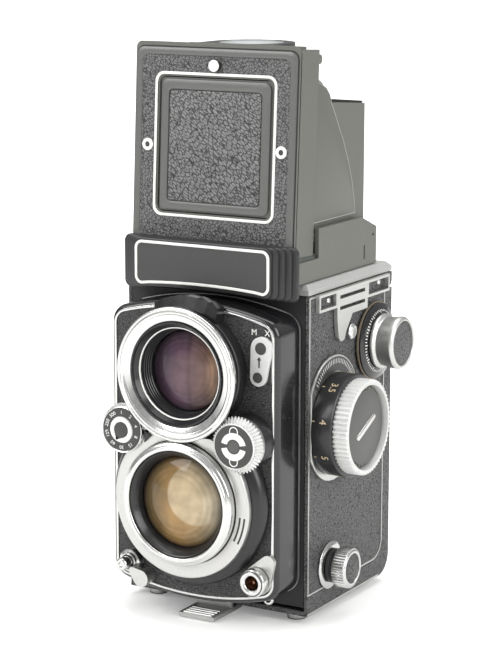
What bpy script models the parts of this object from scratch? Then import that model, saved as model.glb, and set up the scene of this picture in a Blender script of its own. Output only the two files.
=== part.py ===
"""Twin lens reflex camera with a folding viewing hood, built piece by piece.

Metres, +Z up. The lenses face -Y, the focusing knob is on +X, and the camera
stands on its feet at z = 0 with the tripod seat under the origin.
"""
import math

import bmesh
import bpy
from mathutils import Vector

MM = 0.001

# Clearance between neighbouring pieces, and the fineness of round shapes
GAP = 0.3 * MM
ROUND_FINE = 36
ROUND = 24
ROUND_SMALL = 16

# Case
FOOT_H = 3.2 * MM
FOOT_R = 3.5 * MM
BODY_W = 76.0 * MM
BODY_FRONT = -35.0 * MM
BODY_REAR = 31.0 * MM
BODY_H = 118.2 * MM
WALL = 1.8 * MM
COVER_T = 1.2 * MM
COVER_CORNER_R = 8.0 * MM
SHELL_LIFT = 1.5 * MM

# Back door, an L of back and base on a hinge at the top
DOOR_T = 1.8 * MM
DOOR_STRIP_REAR = 5.6 * MM
DOOR_STRIP_BASE = 7.0 * MM
DOOR_CORNER_R = 8.0 * MM
DOOR_HOLLOW_R = 5.0 * MM
HINGE_INSET = 2.0 * MM
HINGE_DROP = 3.4 * MM
KNUCKLE_R = 1.9 * MM
HINGE_PIN_R = 0.8 * MM
FOOT_X = 30.0 * MM
FOOT_FRONT = 7.0 * MM
FOOT_BACK = 11.0 * MM
TRIPOD_Y = -6.0 * MM
TRIPOD_R = 11.0 * MM
TRIPOD_BORE_R = 3.2 * MM
TRIPOD_STEM_R = 6.0 * MM
TRIPOD_STEM_H = 6.0 * MM
LATCH_W = 15.0 * MM
LATCH_L = 20.0 * MM
LATCH_T = 1.6 * MM
LATCH_PIVOT_R = 1.3 * MM
LATCH_LIP_H = 5.8 * MM
LATCH_LAP = 0.15 * MM
LATCH_RIB_R = 0.7 * MM

# Optical axes above the case base, and the frame of the film
TAKE_H = 43.9 * MM
AXIS_STEP = 47.4 * MM
FRAME_SIZE = 56.0 * MM
FILM_Y = 24.0 * MM
ROLLER_R = 3.0 * MM
SPOOL_R = 12.3 * MM
SPOOL_CORE_R = 5.0 * MM
SPOOL_HALF = 31.0 * MM
SPOOL_FLANGE_T = 1.2 * MM
MIRROR_T = 1.2 * MM
MIRROR_CLEAR = 1.0 * MM
MIRROR_FRONT_CLEAR = 3.0 * MM
MIRROR_TOP_CLEAR = 3.2 * MM
SPOOL_BORE_L = 6.0 * MM
SHAFT_ENTRY = 5.0 * MM

# Top plate, focusing screen and hood base
TOP_PLATE_T = 3.7 * MM
TOP_BEVEL = 1.8 * MM
SCREEN_Y = -6.5 * MM
SCREEN_HALF = 27.5 * MM
SCREEN_T = 1.4 * MM
SCREEN_LIP = 2.5 * MM
HOOD_HALF_W = 35.2 * MM
HOOD_FRONT = -38.6 * MM
HOOD_FRONT_WALL = 4.2 * MM
HOOD_REAR = 23.0 * MM
HOOD_WALL = 1.6 * MM
HOOD_H = 18.5 * MM
HOOD_FLOOR_T = 2.0 * MM
HOOD_LEDGE_H = 7.8 * MM
HOOD_LEDGE_REACH = 15.8 * MM
HOOD_SLOPE_DROP = 4.7 * MM
HOOD_SLOPE_L = 12.0 * MM

# Name housing in front of the hood, with stepped ends
NAME_HALF_W = 28.5 * MM
NAME_DEPTH = 7.1 * MM
NAME_STEPS = 5
NAME_STEP_W = 1.95 * MM
NAME_H = 19.8 * MM
NAME_ARCH = 1.0 * MM
NAME_DRAFT = 0.2 * MM

# Hood lid, leaning back, with the sports finder flap and the magnifier
LID_LEAN = 3.15
LID_HALF_W = 33.8 * MM
LID_HEAD = 8.3 * MM
LID_T = 1.3 * MM
LID_FLANGE_D = 14.0 * MM
LID_FLANGE_T = 1.0 * MM
LID_TOP_FLANGE_D = 6.0 * MM
LID_SKIRT_CLEAR = 0.8 * MM
FLAP_HALF_W = 23.2 * MM
FLAP_LOW = 8.7 * MM
FLAP_H = 48.1 * MM
FLAP_T = 1.0 * MM
FLAP_SINK = 0.6 * MM
FLAP_GAP = 0.4 * MM
BUTTON_R = 2.0 * MM
BUTTON_CLEAR = 4.6 * MM
BUTTON_PROUD = 2.4 * MM
MAGNIFIER_HALF_W = 16.0 * MM
MAGNIFIER_L = 33.0 * MM
MAGNIFIER_T = 1.6 * MM
MAGNIFIER_LENS_R = 12.0 * MM
MAGNIFIER_BULGE = 0.9 * MM
MAGNIFIER_PIVOT_R = 1.2 * MM

# Folding hood panels: hinge heights under the rim let them fold flat in layers
PANEL_T = 1.0 * MM
PANEL_KNUCKLE_R = 1.3 * MM
PANEL_TAIL = 0.4 * MM
PANEL_LAYER = 2.4 * MM
PANEL_FRONT_H = 57.0 * MM
PANEL_REAR_H = 43.0 * MM
PANEL_FRONT_SET = 10.0 * MM
PANEL_REAR_GAP = 1.9 * MM
PANEL_SHOULDER_D = 13.8 * MM
PANEL_SHOULDER_DROP = 10.4 * MM
PANEL_TOP_SLOPE = 2.4 * MM
REAR_PANEL_H = 48.4 * MM
REAR_WINDOW = 14.0 * MM

# Lens board, a shallow tray that slides on two rods
BOARD_HALF_W = 35.0 * MM
BOARD_DEPTH = 16.2 * MM
BOARD_LOW = 5.0 * MM
BOARD_HEAD = 2.2 * MM
BOARD_SAG = 5.5 * MM
BOARD_CORNER_R = 7.0 * MM
BOARD_WALL = 1.5 * MM
ROD_X = 29.0 * MM
ROD_H = 60.0 * MM
ROD_R = 2.5 * MM
ROD_L = 31.0 * MM

# Lens housing and the rings on it; heights are forward of the board face
HOUSING_T = 5.7 * MM
HOUSING_R = 32.0 * MM
NECK_R = 22.6 * MM
BOSS_R = 10.0 * MM
WHEEL_X = 23.9 * MM
WHEEL_RISE = 0.6 * MM
VIEW_RING_R = 24.4 * MM
VIEW_RING_T = 1.9 * MM
VIEW_CONE_R = 18.9 * MM
VIEW_FRONT = 12.7 * MM
VIEW_GLASS_R = 14.4 * MM
VIEW_GLASS_RIM = 4.0 * MM
VIEW_GLASS_DOME = 1.9 * MM
VIEW_GLASS_T = 6.4 * MM
RING_FACE = 2.0 * MM
TAKE_CONE_R = 19.3 * MM
TAKE_FRONT = 13.0 * MM
TAKE_GLASS_R = 16.6 * MM
TAKE_GLASS_SINK = 5.4 * MM
TAKE_GLASS_DOME = 4.2 * MM
TAKE_GLASS_T = 3.4 * MM
SHUTTER_RING_R = 28.0 * MM
SHUTTER_RING_TOP = 8.7 * MM
TUBE_WALL = 1.3 * MM
TUBE_BACK = 8.0 * MM
IRIS_HOLE_R = 7.0 * MM
IRIS_T = 0.6 * MM
SEAT_R = 9.5 * MM
SPEED_WHEEL_T = 2.2 * MM
APERTURE_RIM_R = 10.4 * MM
APERTURE_RIM_T = 1.5 * MM
APERTURE_FACE_H = 3.2 * MM
APERTURE_TEETH = 20
WINDOW_R = 27.3 * MM
WINDOW_HALF_W = 13.0 * MM

# Small controls on the lens board, measured from the taking axis
RELEASE_X = -26.0 * MM
RELEASE_DZ = -27.3 * MM
RELEASE_R = 4.9 * MM
RELEASE_BUTTON_R = 2.4 * MM
RELEASE_COLLAR_T = 4.2 * MM
RELEASE_PROUD = 9.0 * MM
RELEASE_TAIL = 1.0 * MM
LOCK_X = -19.0 * MM
LOCK_DZ = -32.1 * MM
LOCK_R = 3.2 * MM
LOCK_TIP_R = 1.4 * MM
SMALL_LEVER_T = 1.8 * MM
SOCKET_X = 27.6 * MM
SOCKET_DZ = -26.7 * MM
SOCKET_TUBE_R = 3.6 * MM
SOCKET_LIP_R = 5.2 * MM
SOCKET_BORE_R = 2.6 * MM
SOCKET_H = 6.5 * MM
SOCKET_ARM_R = 5.4 * MM
SOCKET_TIP_R = 2.6 * MM
SOCKET_TIP_DX = 4.4 * MM
SOCKET_TIP_DZ = 7.3 * MM
SYNC_X = 27.8 * MM
SYNC_H = 91.5 * MM
SYNC_LOW_R = 3.2 * MM
SYNC_TOP_R = 4.1 * MM
SYNC_L = 10.5 * MM
SYNC_TOP_DX = 1.2 * MM

# Focusing knob on the right side
FOCUS_Y = -17.5 * MM
FOCUS_H = 69.2 * MM
FOCUS_PLATE_R = 18.6 * MM
FOCUS_PLATE_RISE = 6.7 * MM
FOCUS_PLATE_DROP = 2.8 * MM
FOCUS_PLATE_T = 1.0 * MM
FOCUS_BARREL_R = 18.9 * MM
FOCUS_BARREL_L = 6.9 * MM
FOCUS_RIM_R = 17.5 * MM
FOCUS_RIM_L = 6.8 * MM
FOCUS_FACE_R = 13.8 * MM
FOCUS_RIBS = 28
FOCUS_SHAFT_R = 3.0 * MM
FOCUS_SHAFT_IN = 8.0 * MM
DIAL_T = 1.8 * MM
DIAL_GRIP_W = 3.0 * MM
DIAL_GRIP_H = 1.4 * MM
DIAL_GRIP_L = 15.6 * MM
DIAL_GRIP_LEAN = 25.0

# Spool knobs on the right side and the winding crank on the left
UPPER_Y = 15.3 * MM
UPPER_LUG_CLEAR = 2.7 * MM
UPPER_DIAL_R = 14.8 * MM
UPPER_DIAL_T = 3.2 * MM
UPPER_BARREL_R = 10.3 * MM
UPPER_FACE_R = 9.55 * MM
UPPER_REACH = 13.0 * MM
LOWER_Y = -18.1 * MM
LOWER_H = 15.5 * MM
LOWER_RING_R = 9.0 * MM
LOWER_RING_T = 1.2 * MM
LOWER_BARREL_R = 7.5 * MM
LOWER_FACE_R = 6.2 * MM
LOWER_REACH = 10.0 * MM
KNOB_SHAFT_R = 2.6 * MM
CRANK_PLATE_R = 13.5 * MM
CRANK_PLATE_T = 1.5 * MM
CRANK_HUB_R = 9.0 * MM
CRANK_HUB_T = 3.6 * MM
CRANK_ARM_L = 34.0 * MM
CRANK_ARM_R = 4.6 * MM
CRANK_ARM_T = 2.0 * MM
CRANK_GRIP_R = 3.6 * MM
CRANK_GRIP_L = 8.0 * MM

# Strap lugs on both sides
LUG_FRONT = -30.5 * MM
LUG_REAR = 25.3 * MM
LUG_H = 6.4 * MM
LUG_T = 1.6 * MM
LUG_RIM = 1.0 * MM
LUG_BLOCK_FRONT = -16.7 * MM
LUG_BLOCK_REAR = 7.1 * MM
LUG_BLOCK_DROP = 3.8 * MM
LUG_SLOT_W = 1.3 * MM
LUG_TONGUE_TIP_R = 2.8 * MM
LUG_TONGUE_L = 9.2 * MM

# Levels and places that follow from the sizes above
CASE_TOP = FOOT_H + BODY_H
SIDE_X = BODY_W / 2
SHELL_X = SIDE_X - COVER_T - GAP
SHELL_INNER_X = SHELL_X - WALL
HINGE_Y = BODY_REAR - HINGE_INSET
HINGE_Z = CASE_TOP - HINGE_DROP
DOOR_TOP = HINGE_Z - KNUCKLE_R - 0.7 * MM
SHELL_REAR = HINGE_Y - KNUCKLE_R - 2 * GAP
COVER_REAR = BODY_REAR - DOOR_STRIP_REAR - GAP
COVER_LOW = FOOT_H + DOOR_STRIP_BASE + GAP
TAKE_Z = FOOT_H + TAKE_H
VIEW_Z = TAKE_Z + AXIS_STEP
ROLLER_AWAY = FRAME_SIZE / 2 + 2 * ROLLER_R + GAP
UPPER_Z = CASE_TOP - LUG_H - UPPER_LUG_CLEAR - UPPER_DIAL_R
WHEEL_Z = (TAKE_Z + VIEW_Z) / 2 + WHEEL_RISE
WHEEL_AWAY = math.hypot(WHEEL_X, VIEW_Z - WHEEL_Z)
VIEW_BASE_R = WHEEL_AWAY - APERTURE_RIM_R - 2 * GAP
SPEED_WHEEL_R = WHEEL_AWAY - VIEW_RING_R - GAP
APERTURE_FACE_R = SPEED_WHEEL_R - GAP
TAKE_RING_R = AXIS_STEP - VIEW_RING_R - GAP
SEAT_TOP = SHUTTER_RING_TOP
TOP_PLATE_Z = CASE_TOP + GAP
HOOD_Z = TOP_PLATE_Z + TOP_PLATE_T + GAP
HOOD_TOP = HOOD_Z + HOOD_H
HOOD_LEDGE_Z = HOOD_Z + HOOD_LEDGE_H
NAME_BACK = HOOD_FRONT - GAP
NAME_FRONT = NAME_BACK - NAME_DEPTH
NAME_TOP = HOOD_LEDGE_Z + 6.0 * MM
LID_SKIRT = NAME_TOP - HOOD_LEDGE_Z - LID_SKIRT_CLEAR
LID_Y = HOOD_FRONT + GAP
LID_Z = NAME_TOP + 2 * GAP
BUTTON_H = FLAP_LOW + FLAP_H + BUTTON_CLEAR
LID_H = BUTTON_H + LID_HEAD
BOARD_BACK = BODY_FRONT - GAP
BOARD_FRONT = BOARD_BACK - BOARD_DEPTH
BOARD_TOP = BODY_H - BOARD_HEAD
PANEL_X = LID_HALF_W - LID_FLANGE_T - GAP - PANEL_T / 2
LEFT_PANEL_Z = HOOD_TOP - 1.4 * MM
RIGHT_PANEL_Z = LEFT_PANEL_Z - PANEL_LAYER
REAR_PANEL_Z = RIGHT_PANEL_Z - PANEL_LAYER
REAR_PANEL_Y = HOOD_REAR - HOOD_WALL - GAP - PANEL_KNUCKLE_R
LOWER_Z = FOOT_H + LOWER_H
MIRROR_AWAY = (SPOOL_R + MIRROR_CLEAR + MIRROR_T) * math.sqrt(2)
MIRROR_Y = VIEW_Z - UPPER_Z + UPPER_Y - MIRROR_AWAY
MIRROR_HIGH = CASE_TOP - WALL - MIRROR_TOP_CLEAR - VIEW_Z
MIRROR_LOW = BODY_FRONT + WALL + MIRROR_FRONT_CLEAR - MIRROR_Y
MIRROR_MIDDLE = (MIRROR_HIGH + MIRROR_LOW) / 2
MIRROR_L = (MIRROR_HIGH - MIRROR_LOW) * math.sqrt(2)
FOCUS_Z = FOOT_H + FOCUS_H
LATCH_Y = BODY_FRONT + 5.0 * MM
LATCH_Z = FOOT_H - GAP - LATCH_PIVOT_R

FACING_FRONT = (math.radians(90), 0.0, 0.0)
FACING_RIGHT = (0.0, math.radians(90), 0.0)
FACING_LEFT = (0.0, math.radians(-90), 0.0)
SIDE_OUTLINE = (math.radians(90), 0.0, math.radians(90))


def clear_scene():
    for obj in list(bpy.data.objects):
        bpy.data.objects.remove(obj, do_unlink=True)


def new_collection(name):
    collection = bpy.data.collections.new(name)
    bpy.context.scene.collection.children.link(collection)
    return collection


clear_scene()
PARTS = new_collection("twin_lens_reflex_camera")
CUTTERS = new_collection("camera_cutters")


# Materials


def finish(name, colour, roughness, metallic=0.0):
    material = bpy.data.materials.new(name)
    material.use_nodes = True
    shader = material.node_tree.nodes["Principled BSDF"]
    shader.inputs["Base Color"].default_value = (*colour, 1.0)
    shader.inputs["Roughness"].default_value = roughness
    shader.inputs["Metallic"].default_value = metallic
    return material


BLACK_PAINT = finish("black_paint", (0.03, 0.03, 0.032), 0.35)
HOOD_GREY = finish("hood_grey", (0.10, 0.10, 0.10), 0.5)
LEATHERETTE = finish("leatherette", (0.05, 0.05, 0.05), 0.75)
CHROME = finish("satin_chrome", (0.82, 0.82, 0.80), 0.22, 1.0)
BRIGHT = finish("bright_chrome", (0.88, 0.88, 0.87), 0.1, 1.0)
BARREL_BLACK = finish("barrel_black", (0.015, 0.015, 0.016), 0.3)
CASTING = finish("casting", (0.06, 0.06, 0.06), 0.55, 0.2)
STEEL = finish("steel", (0.55, 0.55, 0.55), 0.35, 1.0)
VIEW_COATING = finish("mauve_glass", (0.40, 0.30, 0.38), 0.03)
TAKE_COATING = finish("amber_glass", (0.60, 0.45, 0.22), 0.03)
CLEAR_GLASS = finish("clear_glass", (0.75, 0.80, 0.80), 0.05)
MIRROR = finish("mirror_silver", (0.90, 0.90, 0.92), 0.02, 1.0)
SPOOL_BLACK = finish("spool_black", (0.04, 0.04, 0.05), 0.5)


# Building blocks


def hinge_frame(name, at, turn=(0.0, 0.0, 0.0)):
    empty = bpy.data.objects.new(name, None)
    empty.empty_display_size = 5 * MM
    empty.location = at
    empty.rotation_euler = turn
    PARTS.objects.link(empty)
    return empty


def add_part(name, mesh, material, at=(0.0, 0.0, 0.0), turn=(0.0, 0.0, 0.0), parent=None, local=False):
    obj = bpy.data.objects.new(name, mesh)
    PARTS.objects.link(obj)
    obj.data.materials.append(material)
    obj.location = at
    obj.rotation_euler = turn
    if parent is not None:
        obj.parent = parent
        if not local:
            obj.location = Vector(at) - parent.location
    return obj


def make_cutter(obj):
    PARTS.objects.unlink(obj)
    CUTTERS.objects.link(obj)
    obj.hide_render = True
    obj.display_type = "WIRE"
    return obj


def boolean(target, tool, operation="DIFFERENCE"):
    step = target.modifiers.new(operation.title(), "BOOLEAN")
    step.operation = operation
    step.solver = "EXACT"
    step.object = make_cutter(tool)


def box_mesh(name, size):
    bm = bmesh.new()
    bmesh.ops.create_cube(bm, size=1.0)
    bmesh.ops.scale(bm, vec=Vector(size), verts=bm.verts)
    mesh = bpy.data.meshes.new(name)
    bm.to_mesh(mesh)
    bm.free()
    return mesh


def box(name, low, high, material, parent=None, local=False):
    size = [b - a for a, b in zip(low, high)]
    middle = [(a + b) / 2 for a, b in zip(low, high)]
    return add_part(name, box_mesh(name, size), material, middle, parent=parent, local=local)


def rod(
    name, radius, length, material, at,
    turn=(0.0, 0.0, 0.0), segments=ROUND_SMALL, parent=None, local=False,
):
    bm = bmesh.new()
    bmesh.ops.create_cone(
        bm, cap_ends=True, segments=segments, radius1=radius, radius2=radius, depth=length
    )
    mesh = bpy.data.meshes.new(name)
    bm.to_mesh(mesh)
    bm.free()
    return add_part(name, mesh, material, at, turn, parent, local)


def turned(name, profile, material, at, turn, closed=False, segments=ROUND_FINE, parent=None):
    """A profile of (radius, height), outer side running down, spun about local Z."""
    count = len(profile)
    edges = [(i, i + 1) for i in range(count - 1)]
    if closed:
        edges.append((count - 1, 0))
    mesh = bpy.data.meshes.new(name)
    mesh.from_pydata([(r, 0.0, h) for r, h in profile], edges, [])
    obj = add_part(name, mesh, material, at, turn, parent)
    screw = obj.modifiers.new("Spin", "SCREW")
    screw.steps = segments
    screw.render_steps = segments
    screw.use_merge_vertices = True
    screw.merge_threshold = 0.00001
    screw.use_smooth_shade = True
    return obj


def outline_mesh(name, loops, thickness):
    """A flat outline with holes as a filled 2D curve, made a mesh."""
    curve = bpy.data.curves.new(name, "CURVE")
    curve.dimensions = "2D"
    curve.fill_mode = "BOTH"
    curve.extrude = thickness / 2
    for loop in loops:
        spline = curve.splines.new("POLY")
        spline.points.add(len(loop) - 1)
        for point, (a, b) in zip(spline.points, loop):
            point.co = (a, b, 0.0, 1.0)
        spline.use_cyclic_u = True
    holder = bpy.data.objects.new(name + "_outline", curve)
    bpy.context.scene.collection.objects.link(holder)
    graph = bpy.context.evaluated_depsgraph_get()
    mesh = bpy.data.meshes.new_from_object(holder.evaluated_get(graph))
    bpy.data.objects.remove(holder, do_unlink=True)
    bm = bmesh.new()
    bm.from_mesh(mesh)
    bmesh.ops.remove_doubles(bm, verts=bm.verts, dist=0.000001)
    bmesh.ops.recalc_face_normals(bm, faces=bm.faces)
    bm.to_mesh(mesh)
    bm.free()
    return mesh


def front_plate(name, loops, back_y, front_y, material, parent=None):
    """Loops of (x, z) extruded between two depths."""
    mesh = outline_mesh(name, loops, abs(back_y - front_y))
    at = (0.0, (back_y + front_y) / 2, 0.0)
    return add_part(name, mesh, material, at, FACING_FRONT, parent)


def side_plate(name, loops, low_x, high_x, material, origin=(0.0, 0.0), parent=None):
    """Loops of (y, z), measured from an origin, extruded between two x places."""
    mesh = outline_mesh(name, loops, high_x - low_x)
    at = ((low_x + high_x) / 2, origin[0], origin[1])
    return add_part(name, mesh, material, at, SIDE_OUTLINE, parent)


def arc(centre, radius, start, end, count):
    points = []
    for i in range(count + 1):
        angle = math.radians(start + (end - start) * i / count)
        points.append((centre[0] + radius * math.cos(angle), centre[1] + radius * math.sin(angle)))
    return points


def circle(centre, radius, count=ROUND):
    return arc(centre, radius, 0.0, 360.0, count)[:-1]


def rectangle(low, high):
    return [(low[0], low[1]), (high[0], low[1]), (high[0], high[1]), (low[0], high[1])]


def teardrop(big, big_r, small, small_r, count=10):
    """The outline round two circles of unlike size."""
    dx = small[0] - big[0]
    dz = small[1] - big[1]
    toward = math.degrees(math.atan2(dz, dx))
    spread = math.degrees(math.acos((big_r - small_r) / math.hypot(dx, dz)))
    points = arc(big, big_r, toward + spread, toward + 360.0 - spread, count)
    points += arc(small, small_r, toward - spread, toward + spread, count)
    return points


def toothed(radius, depth, teeth):
    """A round outline with square-cut grip teeth."""
    points = []
    for i in range(teeth):
        step = 360.0 / teeth
        for share, reach in ((0.0, radius), (0.5, radius), (0.58, radius - depth), (0.92, radius - depth)):
            angle = math.radians((i + share) * step)
            points.append((reach * math.cos(angle), reach * math.sin(angle)))
    return points


# Case


def case_shell():
    low_z = FOOT_H + DOOR_T + SHELL_LIFT
    shell = box("body_shell", (-SHELL_X, BODY_FRONT, low_z), (SHELL_X, SHELL_REAR, CASE_TOP), CASTING)
    reach = BODY_H
    boolean(shell, box(
        "chamber",
        (-SHELL_INNER_X, BODY_FRONT + WALL, low_z - reach),
        (SHELL_INNER_X, SHELL_REAR + reach, CASE_TOP - WALL), CASTING))
    half = SCREEN_HALF - SCREEN_LIP
    boolean(shell, box(
        "finder_opening",
        (-half, SCREEN_Y - half, CASE_TOP - 3 * WALL),
        (half, SCREEN_Y + half, CASE_TOP + 3 * WALL), CASTING))
    wall_y = BODY_FRONT + WALL / 2
    bore = 4 * WALL
    take_bore = TAKE_GLASS_R + TUBE_WALL + 2 * GAP
    boolean(shell, rod("take_bore", take_bore, bore, CASTING, (0, wall_y, TAKE_Z), FACING_FRONT, ROUND))
    boolean(shell, rod("view_bore", VIEW_GLASS_R, bore, CASTING, (0, wall_y, VIEW_Z), FACING_FRONT, ROUND))
    for side in (-1, 1):
        at = (side * ROD_X, wall_y, FOOT_H + ROD_H)
        boolean(shell, rod("rod_bore", ROD_R + GAP, bore, CASTING, at, FACING_FRONT))
    wall_x = SHELL_X - WALL / 2
    shafts = (
        (wall_x, FOCUS_Y, FOCUS_Z, FOCUS_SHAFT_R),
        (wall_x, UPPER_Y, UPPER_Z, KNOB_SHAFT_R),
        (wall_x, LOWER_Y, LOWER_Z, KNOB_SHAFT_R),
        (-wall_x, UPPER_Y, UPPER_Z, KNOB_SHAFT_R),
    )
    for x, y, z, radius in shafts:
        boolean(shell, rod("shaft_bore", radius + GAP, bore, CASTING, (x, y, z), FACING_RIGHT))


def cover_outline():
    centre = (COVER_REAR - COVER_CORNER_R, COVER_LOW + COVER_CORNER_R)
    ear_low = DOOR_TOP + 2 * GAP
    points = [(BODY_FRONT, COVER_LOW)]
    points += arc(centre, COVER_CORNER_R, -90.0, 0.0, 6)
    points += [(COVER_REAR, ear_low)]
    points += arc((HINGE_Y, HINGE_Z), KNUCKLE_R, -100.0, 0.0, 6)
    points += [(HINGE_Y + KNUCKLE_R, CASE_TOP), (BODY_FRONT, CASE_TOP)]
    return points


def side_covers():
    inner = SIDE_X - COVER_T
    focus = circle((FOCUS_Y, FOCUS_Z), FOCUS_SHAFT_R + GAP, ROUND_SMALL)
    upper = circle((UPPER_Y, UPPER_Z), KNOB_SHAFT_R + GAP, ROUND_SMALL)
    lower = circle((LOWER_Y, LOWER_Z), KNOB_SHAFT_R + GAP, ROUND_SMALL)
    side_plate("side_cover_right", [cover_outline(), focus, upper, lower], inner, SIDE_X, LEATHERETTE)
    side_plate("side_cover_left", [cover_outline(), upper], -SIDE_X, -inner, LEATHERETTE)


def top_plate():
    half = SCREEN_HALF - SCREEN_LIP
    plate = box(
        "top_plate",
        (-SIDE_X, BODY_FRONT, TOP_PLATE_Z),
        (SIDE_X, BODY_REAR, TOP_PLATE_Z + TOP_PLATE_T), CHROME)
    bm = bmesh.new()
    bm.from_mesh(plate.data)
    rim = [e for e in bm.edges if all(v.co.z > 0 for v in e.verts)]
    bmesh.ops.bevel(bm, geom=rim, offset=TOP_BEVEL, segments=1, affect="EDGES", profile=0.5)
    bm.to_mesh(plate.data)
    bm.free()
    boolean(plate, box(
        "plate_opening",
        (-half, SCREEN_Y - half, TOP_PLATE_Z - TOP_PLATE_T),
        (half, SCREEN_Y + half, TOP_PLATE_Z + 2 * TOP_PLATE_T), CHROME))


def finder_optics():
    screen_z = TOP_PLATE_Z + TOP_PLATE_T + GAP
    box(
        "focusing_screen",
        (-SCREEN_HALF, SCREEN_Y - SCREEN_HALF, screen_z),
        (SCREEN_HALF, SCREEN_Y + SCREEN_HALF, screen_z + SCREEN_T), CLEAR_GLASS)
    half_w = SHELL_INNER_X - GAP
    mesh = box_mesh("mirror", (2 * half_w, MIRROR_L, MIRROR_T))
    back = (MIRROR_T / 2) / math.sqrt(2)
    at = (0.0, MIRROR_Y + MIRROR_MIDDLE + back, VIEW_Z + MIRROR_MIDDLE - back)
    add_part("mirror", mesh, MIRROR, at, (math.radians(45), 0.0, 0.0))


def film_path():
    half_w = SHELL_INNER_X - GAP
    half = FRAME_SIZE / 2
    rim = ROLLER_R
    gate = rectangle((-half_w, TAKE_Z - half - rim), (half_w, TAKE_Z + half + rim))
    window = rectangle((-half, TAKE_Z - half), (half, TAKE_Z + half))
    front_plate("film_gate", [gate, window], FILM_Y, FILM_Y - 1.2 * MM, CASTING)
    rollers = (("film_roller_upper", TAKE_Z + ROLLER_AWAY), ("film_roller_lower", TAKE_Z - ROLLER_AWAY))
    for name, z in rollers:
        rod(name, ROLLER_R, 2 * half_w, STEEL, (0.0, FILM_Y - ROLLER_R, z), FACING_RIGHT)


# Back door with its latch, tripod seat and pressure plate


def door_outline():
    outer = (BODY_REAR - DOOR_CORNER_R, FOOT_H + DOOR_CORNER_R)
    inner = (COVER_REAR - COVER_CORNER_R, COVER_LOW + COVER_CORNER_R)
    points = [(BODY_FRONT, FOOT_H)]
    points += arc(outer, DOOR_CORNER_R, -90.0, 0.0, 8)
    points += [(BODY_REAR, DOOR_TOP), (COVER_REAR + GAP, DOOR_TOP)]
    points += arc(inner, COVER_CORNER_R + GAP, 0.0, -90.0, 6)
    points += [(BODY_FRONT, COVER_LOW - GAP)]
    return points


def door_hollow():
    centre = (BODY_REAR - DOOR_T - DOOR_HOLLOW_R, FOOT_H + DOOR_T + DOOR_HOLLOW_R)
    reach = BODY_H
    points = [(BODY_FRONT - reach, FOOT_H + DOOR_T)]
    points += arc(centre, DOOR_HOLLOW_R, -90.0, 0.0, 6)
    points += [(BODY_REAR - DOOR_T, FOOT_H + 2 * reach), (BODY_FRONT - reach, FOOT_H + 2 * reach)]
    return points


def back_door():
    frame = hinge_frame("back_door_hinge", (0.0, HINGE_Y, HINGE_Z))
    inner = SIDE_X - COVER_T
    door = side_plate("back_door", [door_outline()], -SIDE_X, SIDE_X, LEATHERETTE, parent=frame)
    boolean(door, side_plate("door_hollow", [door_hollow()], -inner, inner, CASTING))
    knuckle_half = SHELL_X - GAP
    web_low = DOOR_TOP - DOOR_T
    boolean(door, box(
        "knuckle_web",
        (-knuckle_half, BODY_REAR - DOOR_T + 0.1 * MM, web_low),
        (knuckle_half, BODY_REAR - 0.2 * MM, HINGE_Z), CASTING), "UNION")
    at = (0.0, HINGE_Y, HINGE_Z)
    boolean(door, rod("knuckle", KNUCKLE_R, 2 * knuckle_half, CASTING, at, FACING_RIGHT), "UNION")
    boolean(door, rod("knuckle_bore", HINGE_PIN_R + GAP, BODY_W, CASTING, at, FACING_RIGHT))
    for side in (-1, 1):
        for y in (BODY_FRONT + FOOT_FRONT, BODY_REAR - FOOT_BACK):
            foot_h = FOOT_H + DOOR_T / 2
            foot = rod("foot", FOOT_R, foot_h, CASTING, (side * FOOT_X, y, foot_h / 2))
            boolean(door, foot, "UNION")
    hole = TRIPOD_STEM_R + GAP
    boolean(door, rod("seat_bore", hole, 6 * DOOR_T, CASTING, (0.0, TRIPOD_Y, FOOT_H), segments=ROUND))
    rod("hinge_pin", HINGE_PIN_R, 2 * SHELL_X, STEEL, at, FACING_RIGHT, segments=12)
    flange_top = FOOT_H - GAP
    stem_top = FOOT_H + DOOR_T + TRIPOD_STEM_H
    profile = [
        (TRIPOD_STEM_R, stem_top), (TRIPOD_STEM_R, flange_top), (TRIPOD_R, flange_top),
        (TRIPOD_R, 0.0), (TRIPOD_BORE_R, 0.0), (TRIPOD_BORE_R, stem_top),
    ]
    turned("tripod_socket", profile, STEEL, (0.0, TRIPOD_Y, 0.0), (0.0, 0.0, 0.0), True, ROUND, frame)
    pressure_plate(frame)
    back_latch()


def pressure_plate(frame):
    half = FRAME_SIZE / 2 + ROLLER_R
    front = FILM_Y + 4 * GAP
    plate_t = 1.0 * MM
    plate = box(
        "pressure_plate",
        (-half, front, TAKE_Z - half), (half, front + plate_t, TAKE_Z + half), STEEL, frame)
    pad = half / 3
    for side in (-1, 1):
        z = TAKE_Z + side * half / 2
        boolean(plate, box(
            "spring_pad",
            (-pad, front + plate_t / 2, z - pad / 2),
            (pad, BODY_REAR - DOOR_T - GAP, z + pad / 2), STEEL), "UNION")


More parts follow.
